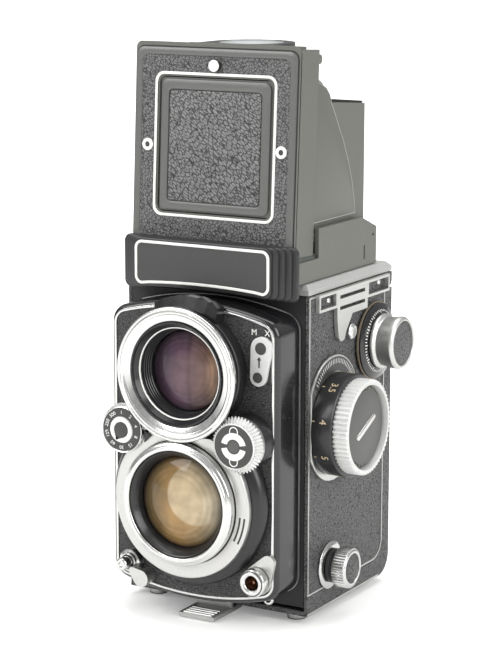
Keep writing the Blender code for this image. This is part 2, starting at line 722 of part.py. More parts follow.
def back_latch():
    at = (0.0, LATCH_Y, LATCH_Z)
    half = LATCH_W / 2
    latch = rod("back_latch", LATCH_PIVOT_R, LATCH_W - 2 * LATCH_LAP, BRIGHT, at, FACING_RIGHT)
    low = LATCH_Z - LATCH_PIVOT_R + LATCH_LAP
    boolean(latch, box(
        "latch_plate",
        (-half, LATCH_Y - LATCH_L, low), (half, LATCH_Y, low + LATCH_T), BRIGHT), "UNION")
    lip_y = BODY_FRONT - GAP
    boolean(latch, box(
        "latch_lip",
        (-half + LATCH_LAP, lip_y - LATCH_T, low + LATCH_T / 2),
        (half - LATCH_LAP, lip_y, low + LATCH_T + LATCH_LIP_H), BRIGHT), "UNION")
    for i in range(4):
        y = LATCH_Y - LATCH_L + (1.5 + 2.0 * i) * MM
        boolean(latch, rod(
            "latch_rib", LATCH_RIB_R, LATCH_W * 0.8, BRIGHT, (0.0, y, low + LATCH_T - LATCH_LAP),
            FACING_RIGHT, 8), "UNION")


# Hood base, name housing and hood


def hood_base():
    inner = HOOD_HALF_W - HOOD_WALL
    base = box(
        "hood_base", (-HOOD_HALF_W, HOOD_FRONT, HOOD_Z), (HOOD_HALF_W, HOOD_REAR, HOOD_TOP), HOOD_GREY)
    well_front = HOOD_FRONT + HOOD_FRONT_WALL
    well_rear = HOOD_REAR - HOOD_WALL
    boolean(base, box(
        "hood_well",
        (-inner, well_front, HOOD_Z + HOOD_FLOOR_T), (inner, well_rear, HOOD_TOP + HOOD_H), HOOD_GREY))
    hole = SCREEN_HALF + GAP
    boolean(base, box(
        "screen_seat",
        (-hole, SCREEN_Y - hole, HOOD_Z - HOOD_FLOOR_T),
        (hole, SCREEN_Y + hole, HOOD_Z + 2 * HOOD_FLOOR_T), HOOD_GREY))
    reach = HOOD_HALF_W + HOOD_H
    boolean(base, box(
        "lid_ledge",
        (-reach, HOOD_FRONT - HOOD_H, HOOD_LEDGE_Z),
        (reach, HOOD_FRONT + HOOD_LEDGE_REACH, HOOD_TOP + HOOD_H), HOOD_GREY))
    slope = [
        (HOOD_REAR - HOOD_SLOPE_L, HOOD_TOP),
        (HOOD_REAR + HOOD_SLOPE_L, HOOD_TOP - 2 * HOOD_SLOPE_DROP),
        (HOOD_REAR + HOOD_SLOPE_L, HOOD_TOP + HOOD_H),
        (HOOD_REAR - HOOD_SLOPE_L, HOOD_TOP + HOOD_H),
    ]
    boolean(base, side_plate("rear_slope", [slope], -reach, reach, HOOD_GREY))


def name_housing():
    step_d = NAME_DEPTH / NAME_STEPS
    right = []
    for i in range(NAME_STEPS):
        x = NAME_HALF_W + i * NAME_STEP_W
        y = NAME_FRONT + i * step_d
        right += [(x, y), (x, y + step_d - NAME_DRAFT)]
    outline = right + [(-x, y) for x, y in reversed(right)]
    mesh = outline_mesh("name_housing", [outline], NAME_H)
    middle = (0.0, 0.0, NAME_TOP - NAME_H / 2)
    housing = add_part("name_housing", mesh, HOOD_GREY, middle)
    half = NAME_HALF_W + NAME_STEPS * NAME_STEP_W
    radius = (half ** 2 + NAME_ARCH ** 2) / (2 * NAME_ARCH)
    low = NAME_TOP - NAME_H
    spread = math.degrees(math.asin(half / radius))
    arch = arc((0.0, low + NAME_ARCH - radius), radius, 90.0 + spread, 90.0 - spread, 10)
    arch += [(half, low - NAME_H), (-half, low - NAME_H)]
    boolean(housing, front_plate("name_arch", [arch], NAME_BACK + NAME_H, NAME_FRONT - NAME_H, HOOD_GREY))


def lid_box(name, low, high, material, frame):
    return box(name, low, high, material, frame, True)


def hood_lid(frame):
    low = -LID_SKIRT
    lid = lid_box("hood_lid", (-LID_HALF_W, 0.0, low), (LID_HALF_W, LID_FLANGE_D, LID_H), HOOD_GREY, frame)
    inner = LID_HALF_W - LID_FLANGE_T
    reach = LID_H
    boolean(lid, lid_box(
        "lid_tray",
        (-inner, LID_T, low - reach), (inner, LID_FLANGE_D + reach, LID_H - LID_FLANGE_T), HOOD_GREY, frame))
    boolean(lid, lid_box(
        "lid_top_trim",
        (-inner, LID_TOP_FLANGE_D, 0.0), (inner, LID_FLANGE_D + reach, LID_H + reach), HOOD_GREY, frame))
    boolean(lid, lid_box(
        "flap_opening",
        (-FLAP_HALF_W - FLAP_GAP, -LID_T, FLAP_LOW - FLAP_GAP),
        (FLAP_HALF_W + FLAP_GAP, 3 * LID_T, FLAP_LOW + FLAP_H + FLAP_GAP), HOOD_GREY, frame))
    boolean(lid, rod(
        "button_bore", BUTTON_R + GAP, 6 * LID_T, HOOD_GREY, (0.0, LID_T, BUTTON_H),
        FACING_FRONT, ROUND_SMALL, frame, True))
    head_r = BUTTON_R + 0.9 * MM
    profile = [
        (0.0, BUTTON_PROUD), (BUTTON_R - GAP, BUTTON_PROUD), (BUTTON_R, BUTTON_PROUD - GAP),
        (BUTTON_R, -LID_T - GAP), (head_r, -LID_T - GAP), (head_r, -2 * LID_T), (0.0, -2 * LID_T),
    ]
    button = turned(
        "lid_button", profile, BRIGHT, (0.0, 0.0, 0.0), FACING_FRONT, segments=ROUND_SMALL, parent=frame)
    button.location = (0.0, 0.0, BUTTON_H)


def sports_flap(frame):
    pivot = (0.0, FLAP_SINK + FLAP_T / 2, FLAP_LOW + FLAP_H - FLAP_T / 2)
    hinge = hinge_frame("sports_flap_hinge", pivot)
    hinge.parent = frame
    low = -FLAP_H + FLAP_T / 2
    lid_box(
        "sports_flap",
        (-FLAP_HALF_W, -FLAP_T / 2, low), (FLAP_HALF_W, FLAP_T / 2, FLAP_T / 2), HOOD_GREY, hinge)


def magnifier(frame):
    """The magnifier stands out level behind the lid's top edge and folds down behind the flap."""
    pivot = (0.0, LID_TOP_FLANGE_D + GAP + MAGNIFIER_PIVOT_R, LID_H - MAGNIFIER_PIVOT_R - GAP)
    fold = hinge_frame("magnifier_hinge", pivot, (math.radians(90.0 + LID_LEAN), 0.0, 0.0))
    fold.parent = frame
    lens_z = -MAGNIFIER_L + MAGNIFIER_HALF_W
    outline = arc((0.0, lens_z), MAGNIFIER_HALF_W, 180.0, 360.0, 16)
    outline += [(MAGNIFIER_HALF_W, 0.0), (-MAGNIFIER_HALF_W, 0.0)]
    hole = circle((0.0, lens_z), MAGNIFIER_LENS_R + GAP)
    mesh = outline_mesh("magnifier_frame", [outline, hole], MAGNIFIER_T)
    loupe = add_part("magnifier_frame", mesh, CHROME, (0.0, 0.0, 0.0), FACING_FRONT, fold, True)
    boolean(loupe, rod(
        "magnifier_knuckle", MAGNIFIER_PIVOT_R, 2 * MAGNIFIER_HALF_W, CHROME, (0.0, 0.0, 0.0),
        FACING_RIGHT, 12, fold, True), "UNION")
    half_t = MAGNIFIER_T / 2
    profile = [
        (0.0, half_t + MAGNIFIER_BULGE), (MAGNIFIER_LENS_R * 0.55, half_t + MAGNIFIER_BULGE * 0.7),
        (MAGNIFIER_LENS_R, half_t), (MAGNIFIER_LENS_R, -half_t), (0.0, -half_t),
    ]
    lens = turned(
        "magnifier_lens", profile, CLEAR_GLASS, (0.0, 0.0, 0.0),
        (math.radians(-90), 0.0, 0.0), segments=ROUND, parent=fold)
    lens.location = (0.0, 0.0, lens_z)


def panel_outline(hinge_z):
    """The side panel seen from the side, measured from its hinge line."""
    lean = math.tan(math.radians(LID_LEAN))
    rise = hinge_z - LID_Z
    low = -PANEL_TAIL
    front_top = PANEL_FRONT_H + LEFT_PANEL_Z - hinge_z
    rear_top = PANEL_REAR_H + LEFT_PANEL_Z - hinge_z
    front_y = LID_Y + PANEL_FRONT_SET
    rear_y = REAR_PANEL_Y - PANEL_T / 2 - PANEL_REAR_GAP
    top_y = front_y + (rise + front_top) * lean
    points = [(front_y + (rise + low) * lean, low), (rear_y, low), (rear_y, rear_top)]
    points += [(top_y + PANEL_SHOULDER_D + GAP, rear_top + PANEL_TOP_SLOPE)]
    for across, down in ((1.0, 1.0), (0.83, 0.64), (0.66, 0.42), (0.38, 0.23), (0.0, 0.0)):
        points.append((top_y + PANEL_SHOULDER_D * across, front_top - PANEL_SHOULDER_DROP * down))
    return points


def hood_panels():
    knuckle_front = HOOD_FRONT + HOOD_LEDGE_REACH + GAP
    knuckle_rear = REAR_PANEL_Y - 3 * PANEL_KNUCKLE_R
    knuckle_y = (knuckle_front + knuckle_rear) / 2
    knuckle_l = knuckle_rear - knuckle_front
    for name, side, hinge_z in (("hood_side_left", -1, LEFT_PANEL_Z), ("hood_side_right", 1, RIGHT_PANEL_Z)):
        x = side * PANEL_X
        panel = side_plate(
            name, [panel_outline(hinge_z)], x - PANEL_T / 2, x + PANEL_T / 2, HOOD_GREY, (0.0, hinge_z))
        boolean(panel, rod(
            "panel_knuckle", PANEL_KNUCKLE_R, knuckle_l, HOOD_GREY, (x, knuckle_y, hinge_z),
            FACING_FRONT, 12), "UNION")
    half = PANEL_X - PANEL_KNUCKLE_R - 2 * GAP
    outline = rectangle((-half, -PANEL_TAIL), (half, REAR_PANEL_H))
    top = REAR_PANEL_H - REAR_WINDOW * 0.6
    window = rectangle((-REAR_WINDOW / 2, top - REAR_WINDOW), (REAR_WINDOW / 2, top))
    mesh = outline_mesh("hood_rear", [outline, window], PANEL_T)
    at = (0.0, REAR_PANEL_Y, REAR_PANEL_Z)
    rear = add_part("hood_rear", mesh, HOOD_GREY, at, FACING_FRONT)
    boolean(rear, rod("rear_knuckle", PANEL_KNUCKLE_R, 2 * half, HOOD_GREY, at, FACING_RIGHT, 12), "UNION")


# Lens board and what it carries


def board_outline(inset):
    """The board's outline: bowed top and bottom with rounded corners."""
    half = BOARD_HALF_W - inset
    radius = (BOARD_HALF_W ** 2 + BOARD_SAG ** 2) / (2 * BOARD_SAG) - inset
    corner = BOARD_CORNER_R - inset
    top_centre = FOOT_H + BOARD_TOP - inset - radius
    low_centre = FOOT_H + BOARD_LOW + inset + radius
    fillet_x = half - corner
    fall = math.sqrt((radius - corner) ** 2 - fillet_x ** 2)
    turn = math.degrees(math.atan2(fall, fillet_x))
    points = arc((fillet_x, top_centre + fall), corner, 0.0, turn, 5)
    points += arc((0.0, top_centre), radius, turn, 180.0 - turn, 12)[1:-1]
    points += arc((-fillet_x, top_centre + fall), corner, 180.0 - turn, 180.0, 5)
    points += arc((-fillet_x, low_centre - fall), corner, 180.0, 180.0 + turn, 5)
    points += arc((0.0, low_centre), radius, 180.0 + turn, 360.0 - turn, 12)[1:-1]
    points += arc((fillet_x, low_centre - fall), corner, 360.0 - turn, 360.0, 5)
    return points


def lens_board(frame):
    holes = [
        circle((0.0, TAKE_Z), TAKE_GLASS_R + TUBE_WALL + 2 * GAP),
        circle((0.0, VIEW_Z), VIEW_GLASS_R + TUBE_WALL + 2 * GAP),
        circle((RELEASE_X, TAKE_Z + RELEASE_DZ), RELEASE_BUTTON_R + GAP, ROUND_SMALL),
    ]
    board = front_plate(
        "lens_board", [board_outline(0.0)] + holes, BOARD_BACK, BOARD_FRONT, BLACK_PAINT, frame)
    hollow = front_plate(
        "board_hollow", [board_outline(BOARD_WALL)], BOARD_BACK + BOARD_DEPTH,
        BOARD_FRONT + BOARD_WALL, BLACK_PAINT)
    boolean(board, hollow)
    rod_front = BOARD_FRONT + BOARD_WALL / 2
    for side in (-1, 1):
        at = (side * ROD_X, rod_front + ROD_L / 2, FOOT_H + ROD_H)
        boolean(board, rod("guide_rod", ROD_R, ROD_L, STEEL, at, FACING_FRONT, 16), "UNION")


def housing_disc(name, radius, x, z, material, segments=ROUND_FINE):
    middle = BOARD_FRONT - GAP - HOUSING_T / 2
    return rod(name, radius, HOUSING_T, material, (x, middle, z), FACING_FRONT, segments)


def lens_housing(frame):
    middle = BOARD_FRONT - GAP - HOUSING_T / 2
    housing = rod(
        "lens_housing", HOUSING_R, HOUSING_T, BARREL_BLACK, (0.0, middle, TAKE_Z),
        FACING_FRONT, ROUND_FINE, frame)
    boolean(housing, housing_disc("neck", NECK_R, 0.0, VIEW_Z, BARREL_BLACK), "UNION")
    for side in (-1, 1):
        boolean(housing, housing_disc("boss", BOSS_R, side * WHEEL_X, WHEEL_Z, BARREL_BLACK, ROUND), "UNION")
    for radius, z in ((TAKE_CONE_R, TAKE_Z), (VIEW_CONE_R, VIEW_Z)):
        bore = rod(
            "barrel_bore", radius + GAP, 4 * HOUSING_T, BARREL_BLACK, (0.0, middle, z),
            FACING_FRONT, ROUND_FINE)
        boolean(housing, bore)


def scale_window(frame):
    low = GAP
    high = GAP + HOUSING_T
    inner = NECK_R + GAP
    profile = [(WINDOW_R, high - 1.2 * MM), (WINDOW_R, low), (inner, low), (inner, high)]
    window = turned(
        "scale_window", profile, BARREL_BLACK, (0.0, BOARD_FRONT, VIEW_Z), FACING_FRONT, True,
        ROUND_FINE, frame)
    keep = box(
        "window_width",
        (-WINDOW_HALF_W, BOARD_FRONT - 2 * HOUSING_T, VIEW_Z),
        (WINDOW_HALF_W, BOARD_FRONT + HOUSING_T, VIEW_Z + 2 * WINDOW_R), BARREL_BLACK)
    boolean(window, keep, "INTERSECT")


def glass_dome(radius, rim, dome, thick):
    """A lens element's profile: a domed front over a straight edge and a slightly bowed back."""
    front = [(radius * share, rim + dome * (1.0 - share ** 2)) for share in (0.0, 0.35, 0.7, 1.0)]
    return front + [(radius, rim - thick), (0.0, rim - thick - dome / 5)]


def viewing_lens(frame):
    at = (0.0, BOARD_FRONT, VIEW_Z)
    back = GAP + HOUSING_T + GAP
    front = VIEW_FRONT
    bore = VIEW_CONE_R + GAP
    waist = front - VIEW_RING_T
    ring = [
        (VIEW_RING_R - GAP, front), (VIEW_RING_R, front - GAP), (VIEW_RING_R, waist), (VIEW_BASE_R, waist),
        (VIEW_BASE_R, back), (bore, back), (bore, front),
    ]
    turned("viewing_ring", ring, BRIGHT, at, FACING_FRONT, True, parent=frame)
    glass = VIEW_GLASS_R
    tube = glass + GAP + TUBE_WALL
    cone = [
        (VIEW_CONE_R, front - 0.6 * MM), (VIEW_CONE_R, GAP), (tube, GAP), (tube, -TUBE_BACK),
        (glass + GAP, -TUBE_BACK), (glass + GAP, VIEW_GLASS_RIM - GAP),
        (VIEW_CONE_R - 2.4 * MM, front - 3.6 * MM), (VIEW_CONE_R - 0.7 * MM, front - 0.6 * MM),
    ]
    turned("viewing_cone", cone, BARREL_BLACK, at, FACING_FRONT, True, parent=frame)
    dome = glass_dome(glass, VIEW_GLASS_RIM, VIEW_GLASS_DOME, VIEW_GLASS_T)
    turned("viewing_lens", dome, VIEW_COATING, at, FACING_FRONT, segments=ROUND, parent=frame)


def taking_lens(frame):
    at = (0.0, BOARD_FRONT, TAKE_Z)
    back = GAP + HOUSING_T + GAP
    front = TAKE_FRONT
    bore = TAKE_CONE_R + GAP
    ring = [
        (bore + RING_FACE, front), (bore + RING_FACE + GAP, front - 2 * GAP),
        (TAKE_RING_R - GAP, front - 3 * GAP), (TAKE_RING_R, front - 4 * GAP),
        (TAKE_RING_R, back), (bore, back), (bore, front),
    ]
    turned("taking_ring", ring, BRIGHT, at, FACING_FRONT, True, parent=frame)
    inner = TAKE_RING_R + GAP
    top = SHUTTER_RING_TOP
    shutter = [
        (SHUTTER_RING_R - GAP, top), (SHUTTER_RING_R, top - GAP), (SHUTTER_RING_R, back),
        (inner, back), (inner, top),
    ]
    plate = turned("shutter_ring", shutter, CHROME, at, FACING_FRONT, True, parent=frame)
    depth = 4 * SHUTTER_RING_TOP
    boolean(plate, rod(
        "viewing_ring_clearance", VIEW_BASE_R + GAP, depth, CHROME, (0.0, BOARD_FRONT, VIEW_Z),
        FACING_FRONT, ROUND_FINE))
    glass = TAKE_GLASS_R
    tube = glass + GAP + TUBE_WALL
    cone = [
        (TAKE_CONE_R, front - 0.6 * MM), (TAKE_CONE_R, GAP), (tube, GAP), (tube, -TUBE_BACK),
        (glass + GAP, -TUBE_BACK), (glass + GAP, front - 5.2 * MM),
        (TAKE_CONE_R - 0.7 * MM, front - 0.6 * MM),
    ]
    turned("taking_cone", cone, BARREL_BLACK, at, FACING_FRONT, True, parent=frame)
    dome = glass_dome(glass, front - TAKE_GLASS_SINK, TAKE_GLASS_DOME, TAKE_GLASS_T)
    turned("taking_lens", dome, TAKE_COATING, at, FACING_FRONT, segments=ROUND, parent=frame)
    iris = [(glass, IRIS_T), (glass, 0.0), (IRIS_HOLE_R, 0.0), (IRIS_HOLE_R, IRIS_T)]
    turned("iris", iris, STEEL, at, FACING_FRONT, True, 10, frame)
    rear = [
        (0.0, -2.4 * MM), (glass, -1.6 * MM), (glass, -TUBE_BACK + 1.4 * MM), (0.0, -TUBE_BACK + 0.4 * MM),
    ]
    turned("rear_lens", rear, CLEAR_GLASS, at, FACING_FRONT, segments=ROUND, parent=frame)


def setting_wheels(frame):
    low = GAP + HOUSING_T + GAP
    depth = SEAT_TOP - low
    middle = BOARD_FRONT - low - depth / 2
    for name, side in (("wheel_seat_left", -1), ("wheel_seat_right", 1)):
        seat = rod(name, SEAT_R, depth, CHROME, (side * WHEEL_X, middle, WHEEL_Z), FACING_FRONT, ROUND, frame)
        for radius, z in ((SHUTTER_RING_R, TAKE_Z), (VIEW_BASE_R, VIEW_Z)):
            clearance = rod(
                "ring_clearance", radius + GAP, 6 * depth, CHROME, (0.0, middle, z), FACING_FRONT, ROUND_FINE)
            boolean(seat, clearance)
    at = (-WHEEL_X, BOARD_FRONT - SEAT_TOP - GAP, WHEEL_Z)
    wheel = SPEED_WHEEL_R
    thick = SPEED_WHEEL_T
    profile = [
        (0.0, thick), (wheel * 0.55, thick), (wheel * 0.6, thick * 0.7), (wheel * 0.96, thick * 0.7),
        (wheel, thick * 0.5), (wheel, 0.0), (0.0, 0.0),
    ]
    turned("speed_wheel", profile, BRIGHT, at, FACING_FRONT, segments=ROUND, parent=frame)
    mesh = outline_mesh(
        "aperture_wheel", [toothed(APERTURE_RIM_R, 0.5 * MM, APERTURE_TEETH)], APERTURE_RIM_T)
    low = BOARD_FRONT - SEAT_TOP - GAP
    at = (WHEEL_X, low - APERTURE_RIM_T / 2, WHEEL_Z)
    stop_wheel = add_part("aperture_wheel", mesh, BRIGHT, at, FACING_FRONT, frame)
    face_l = APERTURE_FACE_H - APERTURE_RIM_T / 2
    at = (WHEEL_X, low - APERTURE_FACE_H + face_l / 2, WHEEL_Z)
    boolean(stop_wheel, rod(
        "wheel_face", APERTURE_FACE_R, face_l, BRIGHT, at, FACING_FRONT, ROUND), "UNION")


def lever_plate(name, loops, material, pivot, frame, low=GAP, thick=SMALL_LEVER_T):
    """A flat lever with its origin on its pivot, lying on the board's face."""
    mesh = outline_mesh(name, loops, thick)
    at = (pivot[0], BOARD_FRONT - low - thick / 2, pivot[1])
    return add_part(name, mesh, material, at, FACING_FRONT, frame)


def board_controls(frame):
    release = (RELEASE_X, TAKE_Z + RELEASE_DZ)
    at = (release[0], BOARD_FRONT, release[1])
    bore = RELEASE_BUTTON_R + GAP
    top = GAP + RELEASE_COLLAR_T
    collar = [
        (RELEASE_R - 0.8 * MM, top), (RELEASE_R, top - 0.8 * MM), (RELEASE_R, GAP), (bore, GAP), (bore, top),
    ]
    turned("release_collar", collar, BRIGHT, at, FACING_FRONT, True, ROUND, frame)
    button = [
        (0.0, RELEASE_PROUD), (RELEASE_BUTTON_R - 0.6 * MM, RELEASE_PROUD),
        (RELEASE_BUTTON_R, RELEASE_PROUD - 0.6 * MM), (RELEASE_BUTTON_R, -BOARD_WALL - RELEASE_TAIL),
        (0.0, -BOARD_WALL - RELEASE_TAIL),
    ]
    turned("release_button", button, BRIGHT, at, FACING_FRONT, segments=ROUND_SMALL, parent=frame)
    post = (LOCK_X, TAKE_Z + LOCK_DZ)
    away = math.hypot(release[0] - post[0], release[1] - post[1])
    reach = (away - RELEASE_BUTTON_R - GAP - LOCK_TIP_R) / away
    tip = ((release[0] - post[0]) * reach, (release[1] - post[1]) * reach)
    arm_low = top + GAP
    lock = lever_plate(
        "release_lock", [teardrop((0.0, 0.0), LOCK_R, tip, LOCK_TIP_R)], BRIGHT, post, frame, arm_low)
    post_l = arm_low + SMALL_LEVER_T / 2 - GAP
    at = (post[0], BOARD_FRONT - GAP - post_l / 2, post[1])
    boolean(lock, rod("lock_post", LOCK_R - GAP, post_l, BRIGHT, at, FACING_FRONT), "UNION")
    socket = (SOCKET_X, TAKE_Z + SOCKET_DZ)
    lip = GAP + SMALL_LEVER_T + GAP
    profile = [
        (SOCKET_LIP_R - 0.5 * MM, SOCKET_H), (SOCKET_LIP_R, SOCKET_H - 0.5 * MM), (SOCKET_LIP_R, lip),
        (SOCKET_TUBE_R, lip), (SOCKET_TUBE_R, GAP), (SOCKET_BORE_R, GAP), (SOCKET_BORE_R, SOCKET_H),
    ]
    at = (socket[0], BOARD_FRONT, socket[1])
    turned("flash_socket", profile, BRIGHT, at, FACING_FRONT, True, ROUND, frame)
    arm = teardrop((0.0, 0.0), SOCKET_ARM_R, (SOCKET_TIP_DX, SOCKET_TIP_DZ), SOCKET_TIP_R)
    hole = circle((0.0, 0.0), SOCKET_TUBE_R + GAP, ROUND_SMALL)
    lever_plate("socket_lock", [arm, hole], BRIGHT, socket, frame)
    sync = teardrop((SYNC_TOP_DX, SYNC_L), SYNC_TOP_R, (0.0, 0.0), SYNC_LOW_R)
    lever_plate("sync_lever", [sync], BRIGHT, (SYNC_X, FOOT_H + SYNC_H), frame)


# Knobs on the right side


def focus_knob():
    clip = BODY_FRONT + GAP
    plate_low = SIDE_X + GAP
    plate_high = plate_low + FOCUS_PLATE_T
    loop = circle((FOCUS_Y, FOCUS_Z + FOCUS_PLATE_RISE), FOCUS_PLATE_R, ROUND_FINE)
    plate = side_plate("focus_scale_plate", [loop], plate_low, plate_high, CHROME)
    lower = circle((FOCUS_Y, FOCUS_Z - FOCUS_PLATE_DROP), FOCUS_PLATE_R, ROUND_FINE)
    boolean(plate, side_plate("scale_lower", [lower], plate_low, plate_high, CHROME), "UNION")
    reach = FOCUS_PLATE_R * 3
    boolean(plate, box(
        "scale_front_trim",
        (SIDE_X - reach, clip - reach, FOCUS_Z - reach), (SIDE_X + reach, clip, FOCUS_Z + reach), CHROME))
    at = (SIDE_X, FOCUS_Y, FOCUS_Z)
    boolean(plate, rod("scale_bore", FOCUS_SHAFT_R + GAP, 20 * FOCUS_PLATE_T, CHROME, at, FACING_RIGHT))
    base = GAP + FOCUS_PLATE_T + GAP
    top = base + FOCUS_BARREL_L
    barrel = [
        (0.0, top), (FOCUS_BARREL_R, top), (FOCUS_BARREL_R, base), (FOCUS_SHAFT_R, base),
        (FOCUS_SHAFT_R, -FOCUS_SHAFT_IN), (0.0, -FOCUS_SHAFT_IN),
    ]
    turned("focus_knob", barrel, BARREL_BLACK, at, FACING_RIGHT)
    low = top + GAP
    mesh = outline_mesh("focus_rim", [toothed(FOCUS_RIM_R, 0.6 * MM, FOCUS_RIBS)], FOCUS_RIM_L)
    middle = (SIDE_X + low + FOCUS_RIM_L / 2, FOCUS_Y, FOCUS_Z)
    rim = add_part("focus_rim", mesh, BRIGHT, middle, SIDE_OUTLINE)
    sink = DIAL_T
    floor_x = SIDE_X + low + FOCUS_RIM_L
    recess = FOCUS_FACE_R + GAP
    at = (floor_x, FOCUS_Y, FOCUS_Z)
    boolean(rim, rod("dial_recess", recess, 2 * sink, BRIGHT, at, FACING_RIGHT, ROUND_FINE))
    face = [
        (0.0, DIAL_T), (FOCUS_FACE_R - 0.5 * MM, DIAL_T), (FOCUS_FACE_R, DIAL_T - 0.5 * MM),
        (FOCUS_FACE_R, GAP), (0.0, GAP),
    ]
    dial_x = floor_x - sink
    dial = turned("focus_dial", face, BLACK_PAINT, (dial_x, FOCUS_Y, FOCUS_Z), FACING_RIGHT, segments=ROUND)
    grip_low = dial_x + 2 * GAP
    grip_high = dial_x + DIAL_T + DIAL_GRIP_H
    grip_mesh = box_mesh("dial_grip", (grip_high - grip_low, DIAL_GRIP_L, DIAL_GRIP_W))
    grip = add_part("dial_grip", grip_mesh, BRIGHT, ((grip_low + grip_high) / 2, FOCUS_Y, FOCUS_Z))
    grip.rotation_euler = (math.radians(DIAL_GRIP_LEAN), 0.0, 0.0)
    boolean(dial, grip, "UNION")


def spool_knobs():
    at = (SIDE_X, UPPER_Y, UPPER_Z)
    bore = KNOB_SHAFT_R + GAP
    low = GAP
    dial = [
        (UPPER_BARREL_R + GAP, low + UPPER_DIAL_T), (UPPER_DIAL_R - 0.6 * MM, low + UPPER_DIAL_T * 0.55),
        (UPPER_DIAL_R, low + UPPER_DIAL_T * 0.55), (UPPER_DIAL_R, low), (bore, low),
        (bore, low + UPPER_DIAL_T),
    ]
    turned("upper_knob_dial", dial, BLACK_PAINT, at, FACING_RIGHT, True)
    base = low + UPPER_DIAL_T + GAP
    end = SPOOL_HALF - SHAFT_ENTRY - SIDE_X
    top = UPPER_REACH
    knob = [
        (0.0, top), (UPPER_FACE_R, top), (UPPER_BARREL_R, top - 0.9 * MM), (UPPER_BARREL_R, base + 0.8 * MM),
        (UPPER_BARREL_R - 0.8 * MM, base), (KNOB_SHAFT_R, base), (KNOB_SHAFT_R, end), (0.0, end),
    ]
    turned("upper_spool_knob", knob, BRIGHT, at, FACING_RIGHT, segments=ROUND)
    at = (SIDE_X, LOWER_Y, LOWER_Z)
    ring = [
        (LOWER_RING_R - 0.8 * MM, low + LOWER_RING_T), (LOWER_RING_R, low + LOWER_RING_T - 0.8 * MM),
        (LOWER_RING_R, low), (bore, low), (bore, low + LOWER_RING_T),
    ]
    turned("lower_knob_ring", ring, BRIGHT, at, FACING_RIGHT, True, ROUND)
    base = low + LOWER_RING_T + GAP
    top = LOWER_REACH
    knob = [
        (0.0, top), (LOWER_FACE_R, top), (LOWER_BARREL_R, top - 0.7 * MM), (LOWER_BARREL_R, base),
        (KNOB_SHAFT_R, base), (KNOB_SHAFT_R, end), (0.0, end),
    ]
    turned("lower_spool_knob", knob, BRIGHT, at, FACING_RIGHT, segments=ROUND)


# Winding crank on the left side and the spool that it turns


def winding_crank():
    at = (-SIDE_X, UPPER_Y, UPPER_Z)
    frame = hinge_frame("crank_axis", at)
    bore = KNOB_SHAFT_R + GAP
    low = GAP
    plate = [
        (CRANK_PLATE_R - 0.6 * MM, low + CRANK_PLATE_T), (CRANK_PLATE_R, low + CRANK_PLATE_T - 0.6 * MM),
        (CRANK_PLATE_R, low), (bore, low), (bore, low + CRANK_PLATE_T),
    ]
    turned("crank_plate", plate, BRIGHT, at, FACING_LEFT, True, ROUND)
    base = low + CRANK_PLATE_T + GAP
    end = SPOOL_HALF - SHAFT_ENTRY - SIDE_X
    top = base + CRANK_HUB_T
    hub = [
        (0.0, top), (CRANK_HUB_R - 0.8 * MM, top), (CRANK_HUB_R, top - 0.8 * MM), (CRANK_HUB_R, base),
        (KNOB_SHAFT_R, base), (KNOB_SHAFT_R, end), (0.0, end),
    ]
    crank = turned("winding_crank", hub, BRIGHT, at, FACING_LEFT, segments=ROUND, parent=frame)
    arm_x = -(SIDE_X + top - CRANK_ARM_T / 2)
    outline = teardrop((0.0, 0.0), CRANK_HUB_R * 0.8, (0.0, -CRANK_ARM_L), CRANK_ARM_R)
    arm = side_plate(
        "crank_arm", [outline], arm_x - CRANK_ARM_T / 2 - 1.0 * MM, arm_x + CRANK_ARM_T / 2 - 1.0 * MM,
        BRIGHT, (UPPER_Y, UPPER_Z))
    boolean(crank, arm, "UNION")
    grip_base = top + 1.0 * MM + GAP
    grip = [
        (0.0, grip_base + CRANK_GRIP_L), (CRANK_GRIP_R * 0.8, grip_base + CRANK_GRIP_L),
        (CRANK_GRIP_R, grip_base + CRANK_GRIP_L - 1.0 * MM), (CRANK_GRIP_R, grip_base), (0.0, grip_base),
    ]
    place = (-SIDE_X, UPPER_Y, UPPER_Z - CRANK_ARM_L)
    turned("crank_grip", grip, BRIGHT, place, FACING_LEFT, segments=ROUND_SMALL, parent=frame)
    flange = SPOOL_HALF
    shoulder = flange - SPOOL_FLANGE_T
    floor_x = flange - SPOOL_BORE_L
    spool = [
        (0.0, floor_x), (bore, floor_x), (bore, flange), (SPOOL_R, flange), (SPOOL_R, shoulder),
        (SPOOL_CORE_R, shoulder), (SPOOL_CORE_R, -shoulder), (SPOOL_R, -shoulder), (SPOOL_R, -flange),
        (bore, -flange), (bore, -floor_x), (0.0, -floor_x),
    ]
    at = (0.0, UPPER_Y, UPPER_Z)
    turned("take_up_spool", spool, SPOOL_BLACK, at, FACING_RIGHT, segments=ROUND, parent=frame)


# Strap lugs


